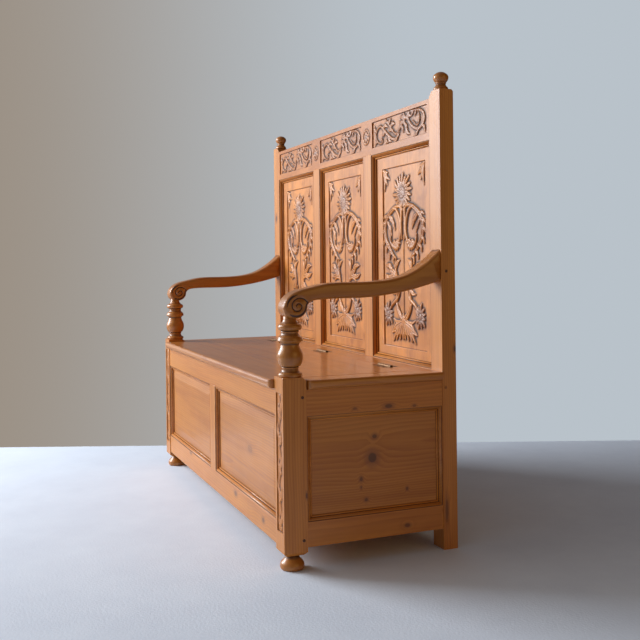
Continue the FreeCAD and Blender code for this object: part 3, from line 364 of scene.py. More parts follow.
def pine(name, tone=1.0, red=0.0, ring=0.0062, figure=0.5, wander=0.05, gloss=0.36, coat=0.15, blotch=0.0,
         knots=(), knot_share=1.2):
    """Waxed pine whose grain follows the mesh's own grain vector.

    Each explicit knot is (place, radius along the grain, radius across it, flat axis, darkness).
    Scattered knots appear in cells whose chance is above knot_share.
    """
    colours = bpy.context.scene.settle_colours
    shader = Shader(bpy.data.materials.new("settle_" + name))
    grain = shader.parts(shader.attribute("grain", 1))
    along, across, deep = grain
    slow = shader.grain_noise(grain, 1.3, 6.0)
    sway = shader.grain_noise(grain, 4.5, 15.0)

    knot_body, knot_rim, bend = natural_knots(shader, along, across, knot_share)
    place = shader.place()
    for spot in knots:
        body, rim, turn = one_knot(shader, place, *spot)
        knot_body = knot_body.larger(body)
        knot_rim = knot_rim.larger(rim)
        bend = bend + turn

    far = (across * across + (deep + 0.05) * (deep + 0.05)).root()
    saw = ((far + slow * wander + sway * 0.008 + bend * 0.008) / ring).fraction()
    late = saw.step(0.15, 0.85) - saw.step(0.90, 1.0)
    fibre = shader.grain_noise(grain, 7.0, 330.0, 2.0, 0.6)
    streak = shader.grain_noise(grain, 2.0, 48.0, 3.0, 0.6)
    cloud = shader.grain_noise(grain, 3.0, 8.0)

    fade = (0.0, 0.28, 0.42)
    honey, amber = (tuple(channel * tone * (1.0 - red * share) for channel, share in zip(plain, fade))
                    for plain in (colours.honey, colours.amber))
    wood = shader.mix((late * figure + streak.step(0.3, 0.8) * 0.5).clamped(), honey, amber)
    wood = shader.shade(wood, 0.84 + cloud * 0.24 + fibre * 0.08)
    if blotch > 0:
        spots = shader.noise(place, 11.0, 3.0, 0.6)
        wood = shader.mix(spots.step(0.50, 0.66) * blotch, wood, toned(honey, 1.28))
        wood = shader.mix((1.0 - spots.step(0.30, 0.47)) * blotch, wood, toned(amber, 0.8))
    wood = shader.mix(knot_rim * 0.5, wood, toned(colours.knot, 2.0))
    wood = shader.mix(knot_body * 0.85, wood, colours.knot)

    # Mix in the grey-lilac tint: wax bloom, and painted sheen of cool light
    overtone = shader.attribute("overtone")
    wood = shader.mix(overtone * 0.75, wood, colours.bloom_and_sheen)
    # Hollows get the dark colour: painted shade and dirt, varied by noise
    recess = shader.attribute("recess")
    high = shader.attribute("edge")
    mottle_noise = shader.noise(place, 90.0, 3.0)
    dark = (recess * 1.3 - (1.0 - mottle_noise) * 0.2).clamped()
    wood = shader.mix(dark, wood, colours.hollow_shade_and_dirt)
    wood = shader.mix((high * (0.10 + mottle_noise * 0.35)).clamped(), wood, toned(honey, 1.3))

    smear = shader.noise(place, 14.0, 3.0)
    rough = gloss + smear * 0.14 - late * 0.04 + dark * 0.25 + fibre * 0.04
    height = fibre * 0.3 + late * 0.25 + smear * 0.35 - knot_rim * 0.3
    return shader.finish(wood, rough, height, 0.0005, **{"Coat Weight": coat, "Coat Roughness": 0.18})


def natural_knots(shader, along, across, share):
    """Scattered knots, in cells longer along the grain than across it."""
    stretch = (2.6, 7.0)
    settings = {"voronoi_dimensions": "2D", "feature": "F1"}
    inputs = {"Vector": shader.vector(along * stretch[0], across * stretch[1], 0.0), "Scale": 1.0,
              "Randomness": 0.9}
    x, y, _ = shader.parts(shader.add("ShaderNodeTexVoronoi", settings, inputs, output=2))
    chance, size, _ = shader.parts(shader.add("ShaderNodeTexVoronoi", settings, inputs, output=1))
    run = along - x / stretch[0]
    side = across - y / stretch[1]
    ragged = shader.noise(shader.vector(along * 60.0, across * 60.0, 0.0), 1.0, 2.0) * 0.004
    distance = (run * run * 0.42 + side * side).root() + ragged
    radius = size * 0.007 + 0.005
    near = distance / radius
    here = chance.step(share, share + 0.01)
    body = (1.0 - near.step(0.75, 1.0)) * here
    rim = (1.0 - near.step(1.0, 2.1)) * here
    bend = (1.0 - near.step(0.0, 4.0)) * here
    return body, rim, bend


def one_knot(shader, place, spot, run, side, flat_axis, darkness):
    """One knot at a place of the frame: its body, its rim and how far the rings bend round it."""
    x, y, z = shader.parts(place)
    if flat_axis == "X":
        level = (y - spot[1]) / run
        beyond = (x - spot[0]) / 0.03
    else:
        level = (x - spot[0]) / run
        beyond = (y - spot[1]) / 0.03
    height = (z - spot[2]) / side
    ragged = shader.noise(place, 55.0, 2.0) * 0.3
    distance = (level * level + height * height).root() + ragged
    here = 1.0 - (beyond * beyond).step(0.8, 1.2)
    body = (1.0 - distance.step(0.8, 1.15)) * here * darkness
    rim = (1.0 - distance.step(1.1, 2.3)) * here * darkness
    bend = (1.0 - distance.step(0.2, 3.6)) * here
    return body, rim, bend


def metal(name, colour, overtone, metallic, rough):
    """Tarnished metal of the hinges and the screws."""
    shader = Shader(bpy.data.materials.new("settle_" + name))
    place = shader.place()
    tarnish = shader.noise(place, 160.0, 4.0).step(0.42, 0.68)
    fine = shader.noise(place, 900.0, 3.0)
    tint = shader.shade(shader.mix(tarnish * 0.75, tuple(colour), overtone), 0.7 + fine * 0.6)
    return shader.finish(tint, rough + tarnish * 0.25, fine, 0.0002, **{"Metallic": metallic})


def peg_wood():
    """End grain of the pegs: dark in front and at the arms, as pale as its post lower at the back."""
    shader = Shader(bpy.data.materials.new("settle_peg"))
    place = shader.place()
    _, y, z = shader.parts(place)
    pale = y.step(0.10, 0.12) * (1.0 - z.step(0.55, 0.60))
    fleck = shader.noise(place, 700.0, 3.0)
    dark = shader.mix(fleck, (0.055, 0.020, 0.008), (0.16, 0.058, 0.018))
    light = shader.mix(fleck, (0.27, 0.092, 0.018), (0.40, 0.145, 0.030))
    return shader.finish(shader.mix(pale, dark, light), 0.5 + fleck * 0.1, fleck, 0.0003)


def mottled(colour, cloudy):
    """The floor, with a faint mottle."""
    shader = Shader(bpy.data.materials.new("settle_floor"))
    place = shader.place()
    cloud = shader.noise(place, 4.0, 8.0, 0.7)
    light = tuple(min(1.0, channel) for channel in toned(colour, 1 + cloudy))
    tint = shader.mix(cloud, toned(colour, 1 - cloudy), light)
    return shader.finish(tint, 0.85, shader.noise(place, 160.0, 4.0), 0.0006)


MATERIALS = {}

# Knots that the photograph shows: place, radii along and across the grain, flat axis, darkness

END_KNOTS = (
    ((0.628, 0.0154, 0.302), 0.0075, 0.0060, "X", 0.9),
    ((0.628, 0.0091, 0.250), 0.0140, 0.0150, "X", 1.0),
    ((0.628, -0.0219, 0.200), 0.0050, 0.0070, "X", 0.8),
    ((0.628, -0.0222, 0.180), 0.0030, 0.0040, "X", 0.7),
    ((0.628, -0.0088, 0.148), 0.0055, 0.0050, "X", 0.8),
    ((0.628, 0.1043, 0.164), 0.0040, 0.0050, "X", 0.8),
)
RAIL_KNOTS = (
    ((0.638, 0.050, 0.376), 0.0120, 0.0060, "X", 0.9),
    ((0.638, 0.122, 0.372), 0.0060, 0.0040, "X", 0.7),
    ((0.638, -0.041, 0.376), 0.0060, 0.0040, "X", 0.6),
    ((0.638, 0.099, 0.075), 0.0090, 0.0055, "X", 0.8),
    ((0.640, 0.211, 0.100), 0.0050, 0.0320, "X", 0.7),
    ((0.640, 0.239, 0.509), 0.0040, 0.0090, "X", 0.9),
    ((0.640, -0.170, 0.178), 0.0030, 0.0080, "X", 0.9),
    ((0.477, -0.226, 0.084), 0.0100, 0.0070, "Y", 0.8),
    ((0.236, -0.226, 0.095), 0.0140, 0.0080, "Y", 0.7),
    ((-0.278, -0.226, 0.110), 0.0140, 0.0060, "Y", 0.7),
)
FRONT_KNOTS = (
    ((0.347, -0.218, 0.239), 0.0240, 0.0120, "Y", 0.35),
)

# How the boards of each kind differ from plain waxed pine

PINES = {
    "frame": {"coat": 0.25, "knots": RAIL_KNOTS, "knot_share": 0.9, "figure": 0.30, "wander": 0.03},
    "panel": {"coat": 0.25, "tone": 0.90, "knots": END_KNOTS + FRONT_KNOTS, "figure": 0.34, "wander": 0.04},
    "carved": {"tone": 0.95, "red": 0.12, "figure": 0.20, "blotch": 0.6},
    "frieze": {"tone": 0.80, "red": 0.32, "figure": 0.15, "blotch": 0.3},
    "strip": {"tone": 0.92, "red": 0.15, "figure": 0.2},
    "moulding": {"tone": 1.12, "red": 0.08, "gloss": 0.30, "figure": 0.2},
    "turned": {"tone": 0.82, "red": 0.05, "ring": 0.016, "figure": 0.12, "gloss": 0.24, "coat": 0.35},
    "arm": {"tone": 0.78, "red": 0.10, "ring": 0.009, "figure": 0.25, "gloss": 0.26, "coat": 0.30,
            "knot_share": 0.95, "wander": 0.03},
    "seat": {"tone": 0.92, "red": 0.05, "gloss": 0.32, "coat": 0.6, "knot_share": 0.92, "figure": 0.35},
    "inner": {"tone": 1.15, "gloss": 0.62, "coat": 0.0, "knot_share": 0.75},
}


def make_materials():
    """Make each finish once."""
    colours = bpy.context.scene.settle_colours
    for key, settings in PINES.items():
        MATERIALS[key] = pine(key + "_pine", **settings)
    MATERIALS["brass"] = metal("hinge_brass", colours.brass, (0.10, 0.055, 0.028), 0.7, 0.42)
    MATERIALS["iron"] = metal("screw_iron", colours.iron, (0.03, 0.02, 0.012), 0.8, 0.4)
    MATERIALS["peg"] = peg_wood()


# Meshes

AXES = {"X": (0, 1, 2), "Y": (1, 2, 0), "Z": (2, 0, 1)}


def number_of(name):
    """A steady number from 0 to 1 for a name."""
    total = sum((index + 1) * ord(letter) for index, letter in enumerate(name))
    return (total * 0.61803) % 1.0


def set_grain(mesh, points, name, axis):
    """Keep the place along, across and through the grain on the mesh, shifted for each board."""
    run, side, deep = AXES[axis]
    points = np.asarray(points, float)
    middle = (points.max(0) + points.min(0)) / 2
    luck = number_of(name)
    grain = np.empty((len(points), 3))
    grain[:, 0] = points[:, run] + luck * 37.0
    grain[:, 1] = points[:, side] - middle[side] + (luck - 0.5) * 0.09
    grain[:, 2] = points[:, deep] - middle[deep] + luck * 0.03
    layer = mesh.attributes.new("grain", "FLOAT_VECTOR", "POINT")
    layer.data.foreach_set("vector", grain.astype(np.float32).ravel())


def set_numbers(mesh, name, values, domain="POINT"):
    """Keep one number for each point or face on the mesh."""
    layer = mesh.attributes.new(name, "FLOAT", domain)
    layer.data.foreach_set("value", np.asarray(values, np.float32))


def points_of(mesh):
    """The places of a mesh's points as an array."""
    places = np.empty(len(mesh.vertices) * 3, np.float32)
    mesh.vertices.foreach_get("co", places)
    return places.reshape(-1, 3)


def add_piece(name, mesh, body, material):
    """Link a finished piece that rides on a body."""
    piece = bpy.data.objects.new(name, mesh)
    bpy.context.scene.collection.objects.link(piece)
    mesh.materials.clear()
    mesh.materials.append(MATERIALS[material])
    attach(piece, body)
    return piece


def replace_node(name, node, mesh, material):
    """Add a finished piece that stands for a node, on the node's body and with the given material, and hide
    the node.
    """
    piece = add_piece(name, mesh, frame["nodes"][node]["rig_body"], material)
    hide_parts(node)
    return piece


def joined(node):
    """A node's mesh with its loose triangles joined, and the bmesh of it."""
    mesh = frame["nodes"][node].data.copy()
    shape = bmesh.new()
    shape.from_mesh(mesh)
    bmesh.ops.remove_doubles(shape, verts=shape.verts, dist=WELD)
    return mesh, shape


def worn_mesh(node, rounding):
    """A node's mesh with flat faces joined and its sharp edges rounded."""
    mesh, shape = joined(node)
    bmesh.ops.dissolve_limit(shape, angle_limit=math.radians(0.5), verts=shape.verts, edges=shape.edges)
    worn = []
    if rounding > 0:
        sharp = [edge for edge in shape.edges
                 if len(edge.link_faces) == 2 and edge.calc_face_angle(0.0) > math.radians(32)]
        result = bmesh.ops.bevel(shape, geom=sharp, offset=rounding, offset_type="OFFSET", segments=2,
                                 profile=0.5, affect="EDGES", clamp_overlap=True)
        worn = result["faces"]
    for face in shape.faces:
        face.smooth = False
    for face in worn:
        face.smooth = True
    marks = [1.0 if face.smooth else 0.0 for face in shape.faces]
    shape.to_mesh(mesh)
    shape.free()
    set_numbers(mesh, "edge", marks, "FACE")
    return mesh


def worn_board(node, axis, rounding, material):
    """Replace a flat board by its worn copy."""
    mesh = worn_mesh(node, rounding)
    set_grain(mesh, points_of(mesh), node, axis)
    return replace_node("worn_" + node, node, mesh, material)


def smooth_mesh(node, angle):
    """A node's mesh that shades as one surface up to an angle."""
    mesh, shape = joined(node)
    shape.to_mesh(mesh)
    shape.free()
    mesh.shade_smooth()
    mesh.set_sharp_from_angle(angle=math.radians(angle))
    return mesh


def smooth_copy(node, axis, material, angle=38.0):
    """Replace a turned or curved node by a copy whose faces shade as one surface."""
    mesh = smooth_mesh(node, angle)
    set_grain(mesh, points_of(mesh), node, axis)
    return replace_node("smooth_" + node, node, mesh, material)


def groove_shade_and_dirt(mesh, points):
    """Mark where a turned piece is narrower than just above and below it, for painted shade and dirt in the
    grooves.
    """
    centre = (points.max(0) + points.min(0)) / 2
    radius = np.hypot(points[:, 0] - centre[0], points[:, 1] - centre[1])
    places = np.arange(points[:, 2].min(), points[:, 2].max() + MM, MM)
    order = np.argsort(points[:, 2])
    profile = np.interp(places, points[order, 2], radius[order])
    reach = 5
    padded = np.pad(profile, reach, mode="edge")
    around = np.array([padded[index:index + 2 * reach + 1].mean() for index in range(len(profile))])
    deep = np.clip((around - profile) / (2.2 * MM), 0, 1)
    set_numbers(mesh, "recess", np.interp(points[:, 2], places, deep))


def solids_of(node):
    """The lowest and highest corner of each loose solid of a node."""
    mesh, shape = joined(node)
    boxes = []
    waiting = set(shape.verts)
    while waiting:
        first = waiting.pop()
        group = [first]
        edge = [first]
        while edge:
            for link in edge.pop().link_edges:
                for vertex in link.verts:
                    if vertex in waiting:
                        waiting.remove(vertex)
                        group.append(vertex)
                        edge.append(vertex)
        places = np.array([vertex.co for vertex in group])
        boxes.append((places.min(0), places.max(0)))
    shape.free()
    bpy.data.meshes.remove(mesh)
    boxes.sort(key=lambda box: tuple(np.round(box[0], 4)))
    return boxes


# Geometry Nodes

class Tree:
    """A geometry node tree with named inputs."""

    def __init__(self, name):
        self.tree = bpy.data.node_groups.new(name, "GeometryNodeTree")
        self.tree.interface.new_socket("Geometry", in_out="INPUT", socket_type="NodeSocketGeometry")
        self.tree.interface.new_socket("Geometry", in_out="OUTPUT", socket_type="NodeSocketGeometry")
        self.start = self.tree.nodes.new("NodeGroupInput")
        self.names = {}

    def number(self, name, value):
        """A named size of the tree."""
        socket = self.tree.interface.new_socket(name, in_out="INPUT", socket_type="NodeSocketFloat")
        socket.default_value = value
        socket.subtype = "DISTANCE"
        self.names[name] = socket.identifier
        return self.start.outputs[name]

    def add(self, kind, settings=None, inputs=(), output=0):
        """Add a node and return one of its outputs."""
        return put_node(self.tree, kind, settings or {}, inputs).outputs[output]

    def times(self, size, factor):
        """A size multiplied by a plain number."""
        return self.add("ShaderNodeMath", {"operation": "MULTIPLY"}, [size, factor])

    def moved(self, geometry, height):
        """A piece moved up by a height."""
        place = self.add("ShaderNodeCombineXYZ", {}, {"Z": height})
        return self.add("GeometryNodeTransform", {}, {"Geometry": geometry, "Translation": place})

    def finish(self, geometry, material):
        """Realize the instances, set their material and wire the result."""
        real = self.add("GeometryNodeRealizeInstances", {}, [geometry])
        painted = self.add("GeometryNodeSetMaterial", {}, {"Geometry": real, "Material": material})
        end = self.tree.nodes.new("NodeGroupOutput")
        self.tree.links.new(painted, end.inputs[0])

    def apply(self, name, places, turns, sizes):
        """Run the tree on points with their own turns and return the plain mesh."""
        mesh = bpy.data.meshes.new(name + "_places")
        mesh.from_pydata([tuple(place) for place in places], [], [])
        layer = mesh.attributes.new("turn", "FLOAT_VECTOR", "POINT")
        layer.data.foreach_set("vector", np.asarray(turns, np.float32).ravel())
        carrier = bpy.data.objects.new(name + "_places", mesh)
        bpy.context.scene.collection.objects.link(carrier)
        modifier = carrier.modifiers.new("Tree", "NODES")
        modifier.node_group = self.tree
        for key, value in sizes.items():
            modifier[self.names[key]] = value
        graph = bpy.context.evaluated_depsgraph_get()
        result = bpy.data.meshes.new_from_object(carrier.evaluated_get(graph))
        carrier.modifiers.remove(modifier)
        bpy.data.objects.remove(carrier)
        result.name = name
        return result


def screw_tree():
    """Countersunk screws with a slot, their heads on the points and their shanks below."""
    tree = Tree("settle_screws")
    head = tree.number("Head Radius", 3.8 * MM)
    shank = tree.number("Shank Radius", 1.8 * MM)
    deep = tree.number("Head Depth", 2.0 * MM)
    long = tree.number("Length", 14.0 * MM)
    slot = tree.number("Slot Width", 0.9 * MM)
    sizes = {"Vertices": 20, "Radius Top": head, "Radius Bottom": shank, "Depth": deep}
    cone = tree.moved(tree.add("GeometryNodeMeshCone", {}, sizes), tree.times(deep, -1.0))
    extent = tree.add("ShaderNodeCombineXYZ", {}, {"X": tree.times(head, 2.4), "Y": slot, "Z": deep})
    cutter = tree.add("GeometryNodeMeshCube", {}, {"Size": extent})
    cut = tree.add("GeometryNodeMeshBoolean", {"operation": "DIFFERENCE", "solver": "EXACT"},
                   {"Mesh 1": cone, "Mesh 2": [cutter]})
    stem = tree.add("GeometryNodeMeshCylinder", {}, {"Vertices": 12, "Radius": shank, "Depth": long})
    below = tree.add("ShaderNodeMath", {"operation": "SUBTRACT"}, [tree.times(long, -0.5), deep])
    stem = tree.moved(stem, below)
    screw = tree.add("GeometryNodeJoinGeometry", {}, {"Geometry": [cut, stem]})
    spread(tree, screw, MATERIALS["iron"])
    return tree


def peg_tree():
    """Hand-cut pegs with eight sides and a low domed head."""
    tree = Tree("settle_pegs")
    radius = tree.number("Radius", 4.0 * MM)
    long = tree.number("Length", 20.0 * MM)
    proud = tree.number("Proud", 0.7 * MM)
    stem = tree.add("GeometryNodeMeshCylinder", {}, {"Vertices": 8, "Radius": radius, "Depth": long})
    stem = tree.moved(stem, tree.times(long, -0.5))
    ball = tree.add("GeometryNodeMeshUVSphere", {}, {"Segments": 16, "Rings": 10, "Radius": 1.0})
    wide = tree.times(radius, 0.93)
    scale = tree.add("ShaderNodeCombineXYZ", {}, {"X": wide, "Y": wide, "Z": proud})
    dome = tree.add("GeometryNodeTransform", {}, {"Geometry": ball, "Scale": scale})
    peg = tree.add("GeometryNodeJoinGeometry", {}, {"Geometry": [stem, dome]})
    spread(tree, peg, MATERIALS["peg"])
    return tree


def spread(tree, piece, material):
    """Set the piece on every point, turned as the point says, with a random twist of a fixed seed."""
    turn = tree.add("GeometryNodeInputNamedAttribute", {"data_type": "FLOAT_VECTOR"}, {"Name": "turn"})
    inputs = {2: 0.0, 3: 6.283, "Seed": 7}
    twist = tree.add("FunctionNodeRandomValue", {"data_type": "FLOAT"}, inputs, output=1)
    spin = tree.add("ShaderNodeCombineXYZ", {}, {"Z": twist})
    local = tree.add("FunctionNodeEulerToRotation", {}, [spin])
    outer = tree.add("FunctionNodeEulerToRotation", {}, [turn])
    both = tree.add("FunctionNodeRotateRotation", {"rotation_space": "LOCAL"}, [outer, local])
    inputs = {"Points": tree.start.outputs[0], "Instance": piece, "Rotation": both}
    tree.finish(tree.add("GeometryNodeInstanceOnPoints", {}, inputs), material)


# Carving

class Relief:
    """A carved surface: a grid of heights in millimetres, built up from strokes of the gouge."""

    def __init__(self, wide, tall, step, border):
        self.border = border
        self.nx = int(round(wide / step)) + 1
        self.nz = int(round(tall / step)) + 1
        self.x = np.linspace(-wide / 2, wide / 2, self.nx)
        self.z = np.linspace(-tall / 2, tall / 2, self.nz)
        self.step = step
        self.high = np.zeros((self.nz, self.nx))
        self.bloom_and_sheen = np.zeros((self.nz, self.nx))

    def window(self, x, z, reach):
        """The part of the grid within reach of a place, with the distances in it."""
        i = np.searchsorted(self.x, [x - reach, x + reach])
        j = np.searchsorted(self.z, [z - reach, z + reach])
        rows = slice(j[0], j[1])
        columns = slice(i[0], i[1])
        away = (self.x[None, columns] - x) ** 2 + (self.z[rows, None] - z) ** 2
        return rows, columns, away

    def dab(self, x, z, radius, rise, lift=0.0):
        """Raise a round bump."""
        if radius <= 0.3:
            return
        rows, columns, away = self.window(x, z, radius)
        bump = lift + (rise - lift) * np.sqrt(np.clip(1 - away / radius ** 2, 0, 1))
        bump[away > radius ** 2] = 0
        self.high[rows, columns] = np.maximum(self.high[rows, columns], bump)

    def grey(self, x, z, radius, amount):
        """Paint a grey-lilac tint round a place: wax bloom, and a painted sheen of cool light."""
        rows, columns, away = self.window(x, z, radius)
        soft = amount * np.clip(1.6 * (1 - np.sqrt(away) / radius), 0, 1)
        self.bloom_and_sheen[rows, columns] = np.maximum(self.bloom_and_sheen[rows, columns], soft)

    def cut(self, x, z, radius, deep):
        """Sink a round hollow."""
        rows, columns, away = self.window(x, z, radius)
        hollow = deep * np.clip(1 - np.sqrt(away) / radius, 0, 1)
        self.high[rows, columns] -= hollow

    def path(self, points):
        """Even steps along a smooth line through points, as (x, z, share of the way)."""
        points = np.asarray(points, float)
        if len(points) == 2:
            fine = points
        else:
            padded = np.vstack([2 * points[0] - points[1], points, 2 * points[-1] - points[-2]])
            fine = []
            for index in range(1, len(padded) - 2):
                a, b, c, d = padded[index - 1:index + 3]
                for t in np.linspace(0, 1, 16, endpoint=False):
                    fine.append(0.5 * (2 * b + (c - a) * t + (2 * a - 5 * b + 4 * c - d) * t ** 2
                                       + (3 * b - a - 3 * c + d) * t ** 3))
            fine = np.array(fine + [points[-1]])
        run = np.concatenate([[0], np.cumsum(np.linalg.norm(np.diff(fine, axis=0), axis=1))])
        count = max(4, int(run[-1] / (self.step * 0.7)))
        shares = np.linspace(0, 1, count)
        x, z = (np.interp(shares * run[-1], run, fine[:, axis]) for axis in (0, 1))
        return list(zip(x, z, shares))

    def stem(self, points, widths, rise):
        """A rounded strand whose half-width changes along its way."""
        stops = np.linspace(0, 1, len(widths))
        for x, z, share in self.path(points):
            half = np.interp(share, stops, widths)
            self.dab(x, z, half, rise * min(1.0, 0.45 + 0.12 * half))

    def vein(self, points, width, deep):
        """A narrow groove."""
        for x, z, _ in self.path(points):
            self.cut(x, z, width, deep * 0.5)

    def leaf(self, start, end, half, bend=0.0, rise=4.0, lobes=3):
        """A pointed leaf with notched sides, a middle vein and a raised rim."""
        start = np.array(start, float)
        end = np.array(end, float)
        along = end - start
        across = np.array([-along[1], along[0]])
        middle = (start + end) / 2 + across * bend
        line = self.path([start, middle, end])
        for x, z, share in line:
            swell = math.sin(math.pi * min(1.0, 0.14 + 0.86 * share) ** 0.85) ** 0.7
            notch = 1.0 - 0.34 * (0.5 - 0.5 * math.cos(2 * math.pi * lobes * share))
            self.dab(x, z, half * swell * notch + 0.9, rise * (0.70 + 0.30 * swell), rise * 0.3)
        for x, z, _ in line[1:-2]:
            self.cut(x, z, 2.1, rise * 0.17)

    def flower(self, x, z, reach, petals, half, rise, centre):
        """A flower: petals whose length depends on their direction, and a domed centre."""
        for number in range(petals):
            angle = 2 * math.pi * (number + 0.5) / petals
            long = reach(angle) * (1 + 0.10 * math.sin(3.7 * number))
            way = np.array([math.cos(angle), math.sin(angle)])
            begin = np.array([x, z]) + way * centre * 0.8
            self.leaf(begin, np.array([x, z]) + way * long, half, 0.06, rise, 1)
        for x_dot, z_dot in self.ring(x, z, centre * 0.70, 9):
            self.dab(x_dot, z_dot, centre * 0.36, rise * 1.0, rise * 0.4)
        self.dab(x, z, centre * 0.66, rise * 1.05, rise * 0.5)
        for x_dot, z_dot in self.ring(x, z, centre * 1.02, 40):
            self.cut(x_dot, z_dot, 2.0, rise * 0.14)
        # Grey-lilac tint round the flower: wax bloom, and painted sheen
        self.grey(x, z, centre * 2.6, 0.9)

    def ring(self, x, z, radius, count):
        """Places evenly round a circle."""
        turns = [2 * math.pi * number / count for number in range(count)]
        return [(x + radius * math.cos(turn), z + radius * math.sin(turn)) for turn in turns]

    def shade(self):
        """How far each point lies below its surroundings, from 0 to 1: the mask of the painted shade in the
        hollows, with a painted shadow along the border.
        """
        deep = np.zeros_like(self.high)
        for reach, share in ((2, 0.55), (5, 0.45)):
            deep += share * np.clip((blurred(self.high, reach) - self.high) / 1.0, 0, 1)
        # Painted shadow along the wall of the sunk field
        if self.border > 0:
            x, z = np.meshgrid(self.x, self.z)
            inward = np.minimum(self.x[-1] - np.abs(x), self.z[-1] - np.abs(z))
            deep = np.maximum(deep, np.clip(1.3 - inward / self.border, 0, 1))
        return np.clip(deep, 0, 1)


def blurred(field, reach):
    """The mean of a field round each point, twice over."""
    for _ in range(2):
        for axis in (0, 1):
            padding = [(reach, reach) if axis == place else (0, 0) for place in (0, 1)]
            sums = np.cumsum(np.pad(field, padding, mode="edge"), axis=axis)
            sums = np.insert(sums, 0, 0, axis=axis)
            size = 2 * reach + 1
            count = field.shape[axis]
            upper = np.take(sums, range(size, size + count), axis=axis)
            lower = np.take(sums, range(0, count), axis=axis)
            field = (upper - lower) / size
    return field


def relief_mesh(name, relief, centre, ground):
    """A closed mesh of a carved surface that faces -Y, with its flat back sunk in the wood."""
    nx = relief.nx
    nz = relief.nz
    x, z = np.meshgrid(relief.x * MM + centre[0], relief.z * MM + centre[1])
    front = np.stack([x, ground - relief.high * MM, z], axis=-1).reshape(-1, 3)
    rim = ([(0, i) for i in range(nx)] + [(j, nx - 1) for j in range(1, nz)]
           + [(nz - 1, i) for i in range(nx - 2, -1, -1)] + [(j, 0) for j in range(nz - 2, 0, -1)])
    rim = [j * nx + i for j, i in rim]
    back = front[rim].copy()
    back[:, 1] = ground + RELIEF_BACK
    first = (np.arange(nz - 1)[:, None] * nx + np.arange(nx - 1)[None, :]).ravel()
    faces = np.stack([first, first + 1, first + nx + 1, first + nx], axis=1).tolist()
    count = len(rim)
    start = len(front)
    for index in range(count):
        after = (index + 1) % count
        faces.append([rim[index], start + index, start + after, rim[after]])
    faces.append([start + index for index in range(count - 1, -1, -1)])
    points = np.vstack([front, back])
    mesh = bpy.data.meshes.new(name)
    mesh.from_pydata(points.tolist(), [], faces)
    mesh.shade_smooth()
    mesh.set_sharp_from_angle(angle=math.radians(75))
    bare = np.zeros(count)
    # Painted shade in the carving's hollows and along its border
    set_numbers(mesh, "recess", np.concatenate([relief.shade().ravel(), bare]))
    set_numbers(mesh, "overtone", np.concatenate([relief.bloom_and_sheen.ravel(), bare]))
    return mesh, points


def add_relief(name, relief, centre, ground, axis, material):
    """Add a carved inlay to the face of a board."""
    mesh, points = relief_mesh(name, relief, centre, ground)
    set_grain(mesh, points, name, axis)
    return add_piece(name, mesh, "root", material)


def carve_panel(relief, rise):
    """The flower, scrolls, stems and leaves of a back panel, in millimetres from the field's centre."""
    def reach(angle):
        up = math.sin(angle)
        return 46 + 10 * abs(math.cos(angle)) + (6 if up > 0 else -12) * abs(up)

    for side in (-1, 1):
        def at(*points):
            return [(side * x - 4, z) for x, z in points]

        corner_spray(relief, side, rise)
        upper_scroll(relief, at, side, rise)
        middle_leaves(relief, at, side, rise)
        lower_scroll(relief, at, side, rise)
    relief.flower(-7, 178, reach, 19, 7.2, rise, 16)
    relief.stem([(-4, 60), (-5, -40), (-7, -176)], (2.4, 2.0, 2.6), rise * 0.7)


def upper_scroll(relief, at, side, rise):
    """One leafy loop beside the stem, with the cup and the small leaf inside it."""
    outer = at((12, 142), (44, 141), (69, 132), (96, 115), (110, 97), (114, 75), (105, 48), (87, 29), (65, 8),
               (46, -4))
    relief.stem(outer, (4, 5.5, 7, 8.5, 9.5, 9.5, 9, 8, 6, 3), rise)
    relief.vein(outer[1:-1], 2.2, rise * 0.5)
    fringe = (((98, 116), (122, 112), 6), ((108, 100), (128, 90), 6.5), ((112, 78), (131, 62), 6.5),
              ((106, 54), (122, 34), 6.5), ((92, 34), (106, 12), 6.5), ((74, 16), (86, -8), 6.5),
              ((58, 2), (60, -22), 5.5))
    for root, tip, half in fringe:
        relief.leaf(*at(root, tip), half, 0.16 * side, rise * 0.9, 1)
    inner = at((60, 137), (42, 134), (25, 116), (17, 92), (16, 70), (23, 49), (35, 27), (56, 27), (74, 40),
               (78, 60))
    relief.stem(inner, (3.5, 5, 6, 6, 6, 6.5, 7, 7, 5.5, 3), rise)
    for number in range(6):
        turn = math.radians(196 + number * 28)
        root = (45 + 8 * math.cos(turn), 48 + 9 * math.sin(turn))
        tip = (45 + 28 * math.cos(turn), 46 + 30 * math.sin(turn))
        relief.leaf(*at(root, tip), 5.4, 0.0, rise * 0.85, 1)
    relief.leaf(*at((86, 118), (50, 76)), 8.5, -0.10 * side, rise * 0.9, 3)
    relief.leaf(*at((94, 98), (72, 60)), 7, -0.10 * side, rise * 0.8, 2)
    relief.stem(at((8, 150), (10, 120), (11, 92), (9, 50)), (7, 7, 5, 3), rise)
    relief.leaf(*at((6, 132), (34, 148)), 7.5, 0.12 * side, rise * 0.9, 2)


def middle_leaves(relief, at, side, rise):
    """The stem below a loop with its leaves."""
    line = at((46, -4), (50, -26), (42, -52), (36, -78), (37, -100), (44, -122))
    relief.stem(line, (3, 5, 5.5, 5.5, 5.5, 6), rise)
    relief.leaf(*at((66, -50), (112, -24)), 9, 0.22 * side, rise, 4)
    relief.leaf(*at((64, -54), (116, -50)), 8, -0.14 * side, rise * 0.95, 3)
    relief.leaf(*at((44, -66), (78, -36)), 8, 0.18 * side, rise, 3)
    relief.leaf(*at((42, -62), (86, -74)), 7.5, 0.16 * side, rise * 0.9, 3)
    relief.leaf(*at((48, -34), (22, -8)), 7, -0.14 * side, rise * 0.9, 2)
    relief.leaf(*at((40, -88), (70, -104)), 7, -0.16 * side, rise * 0.9, 2)


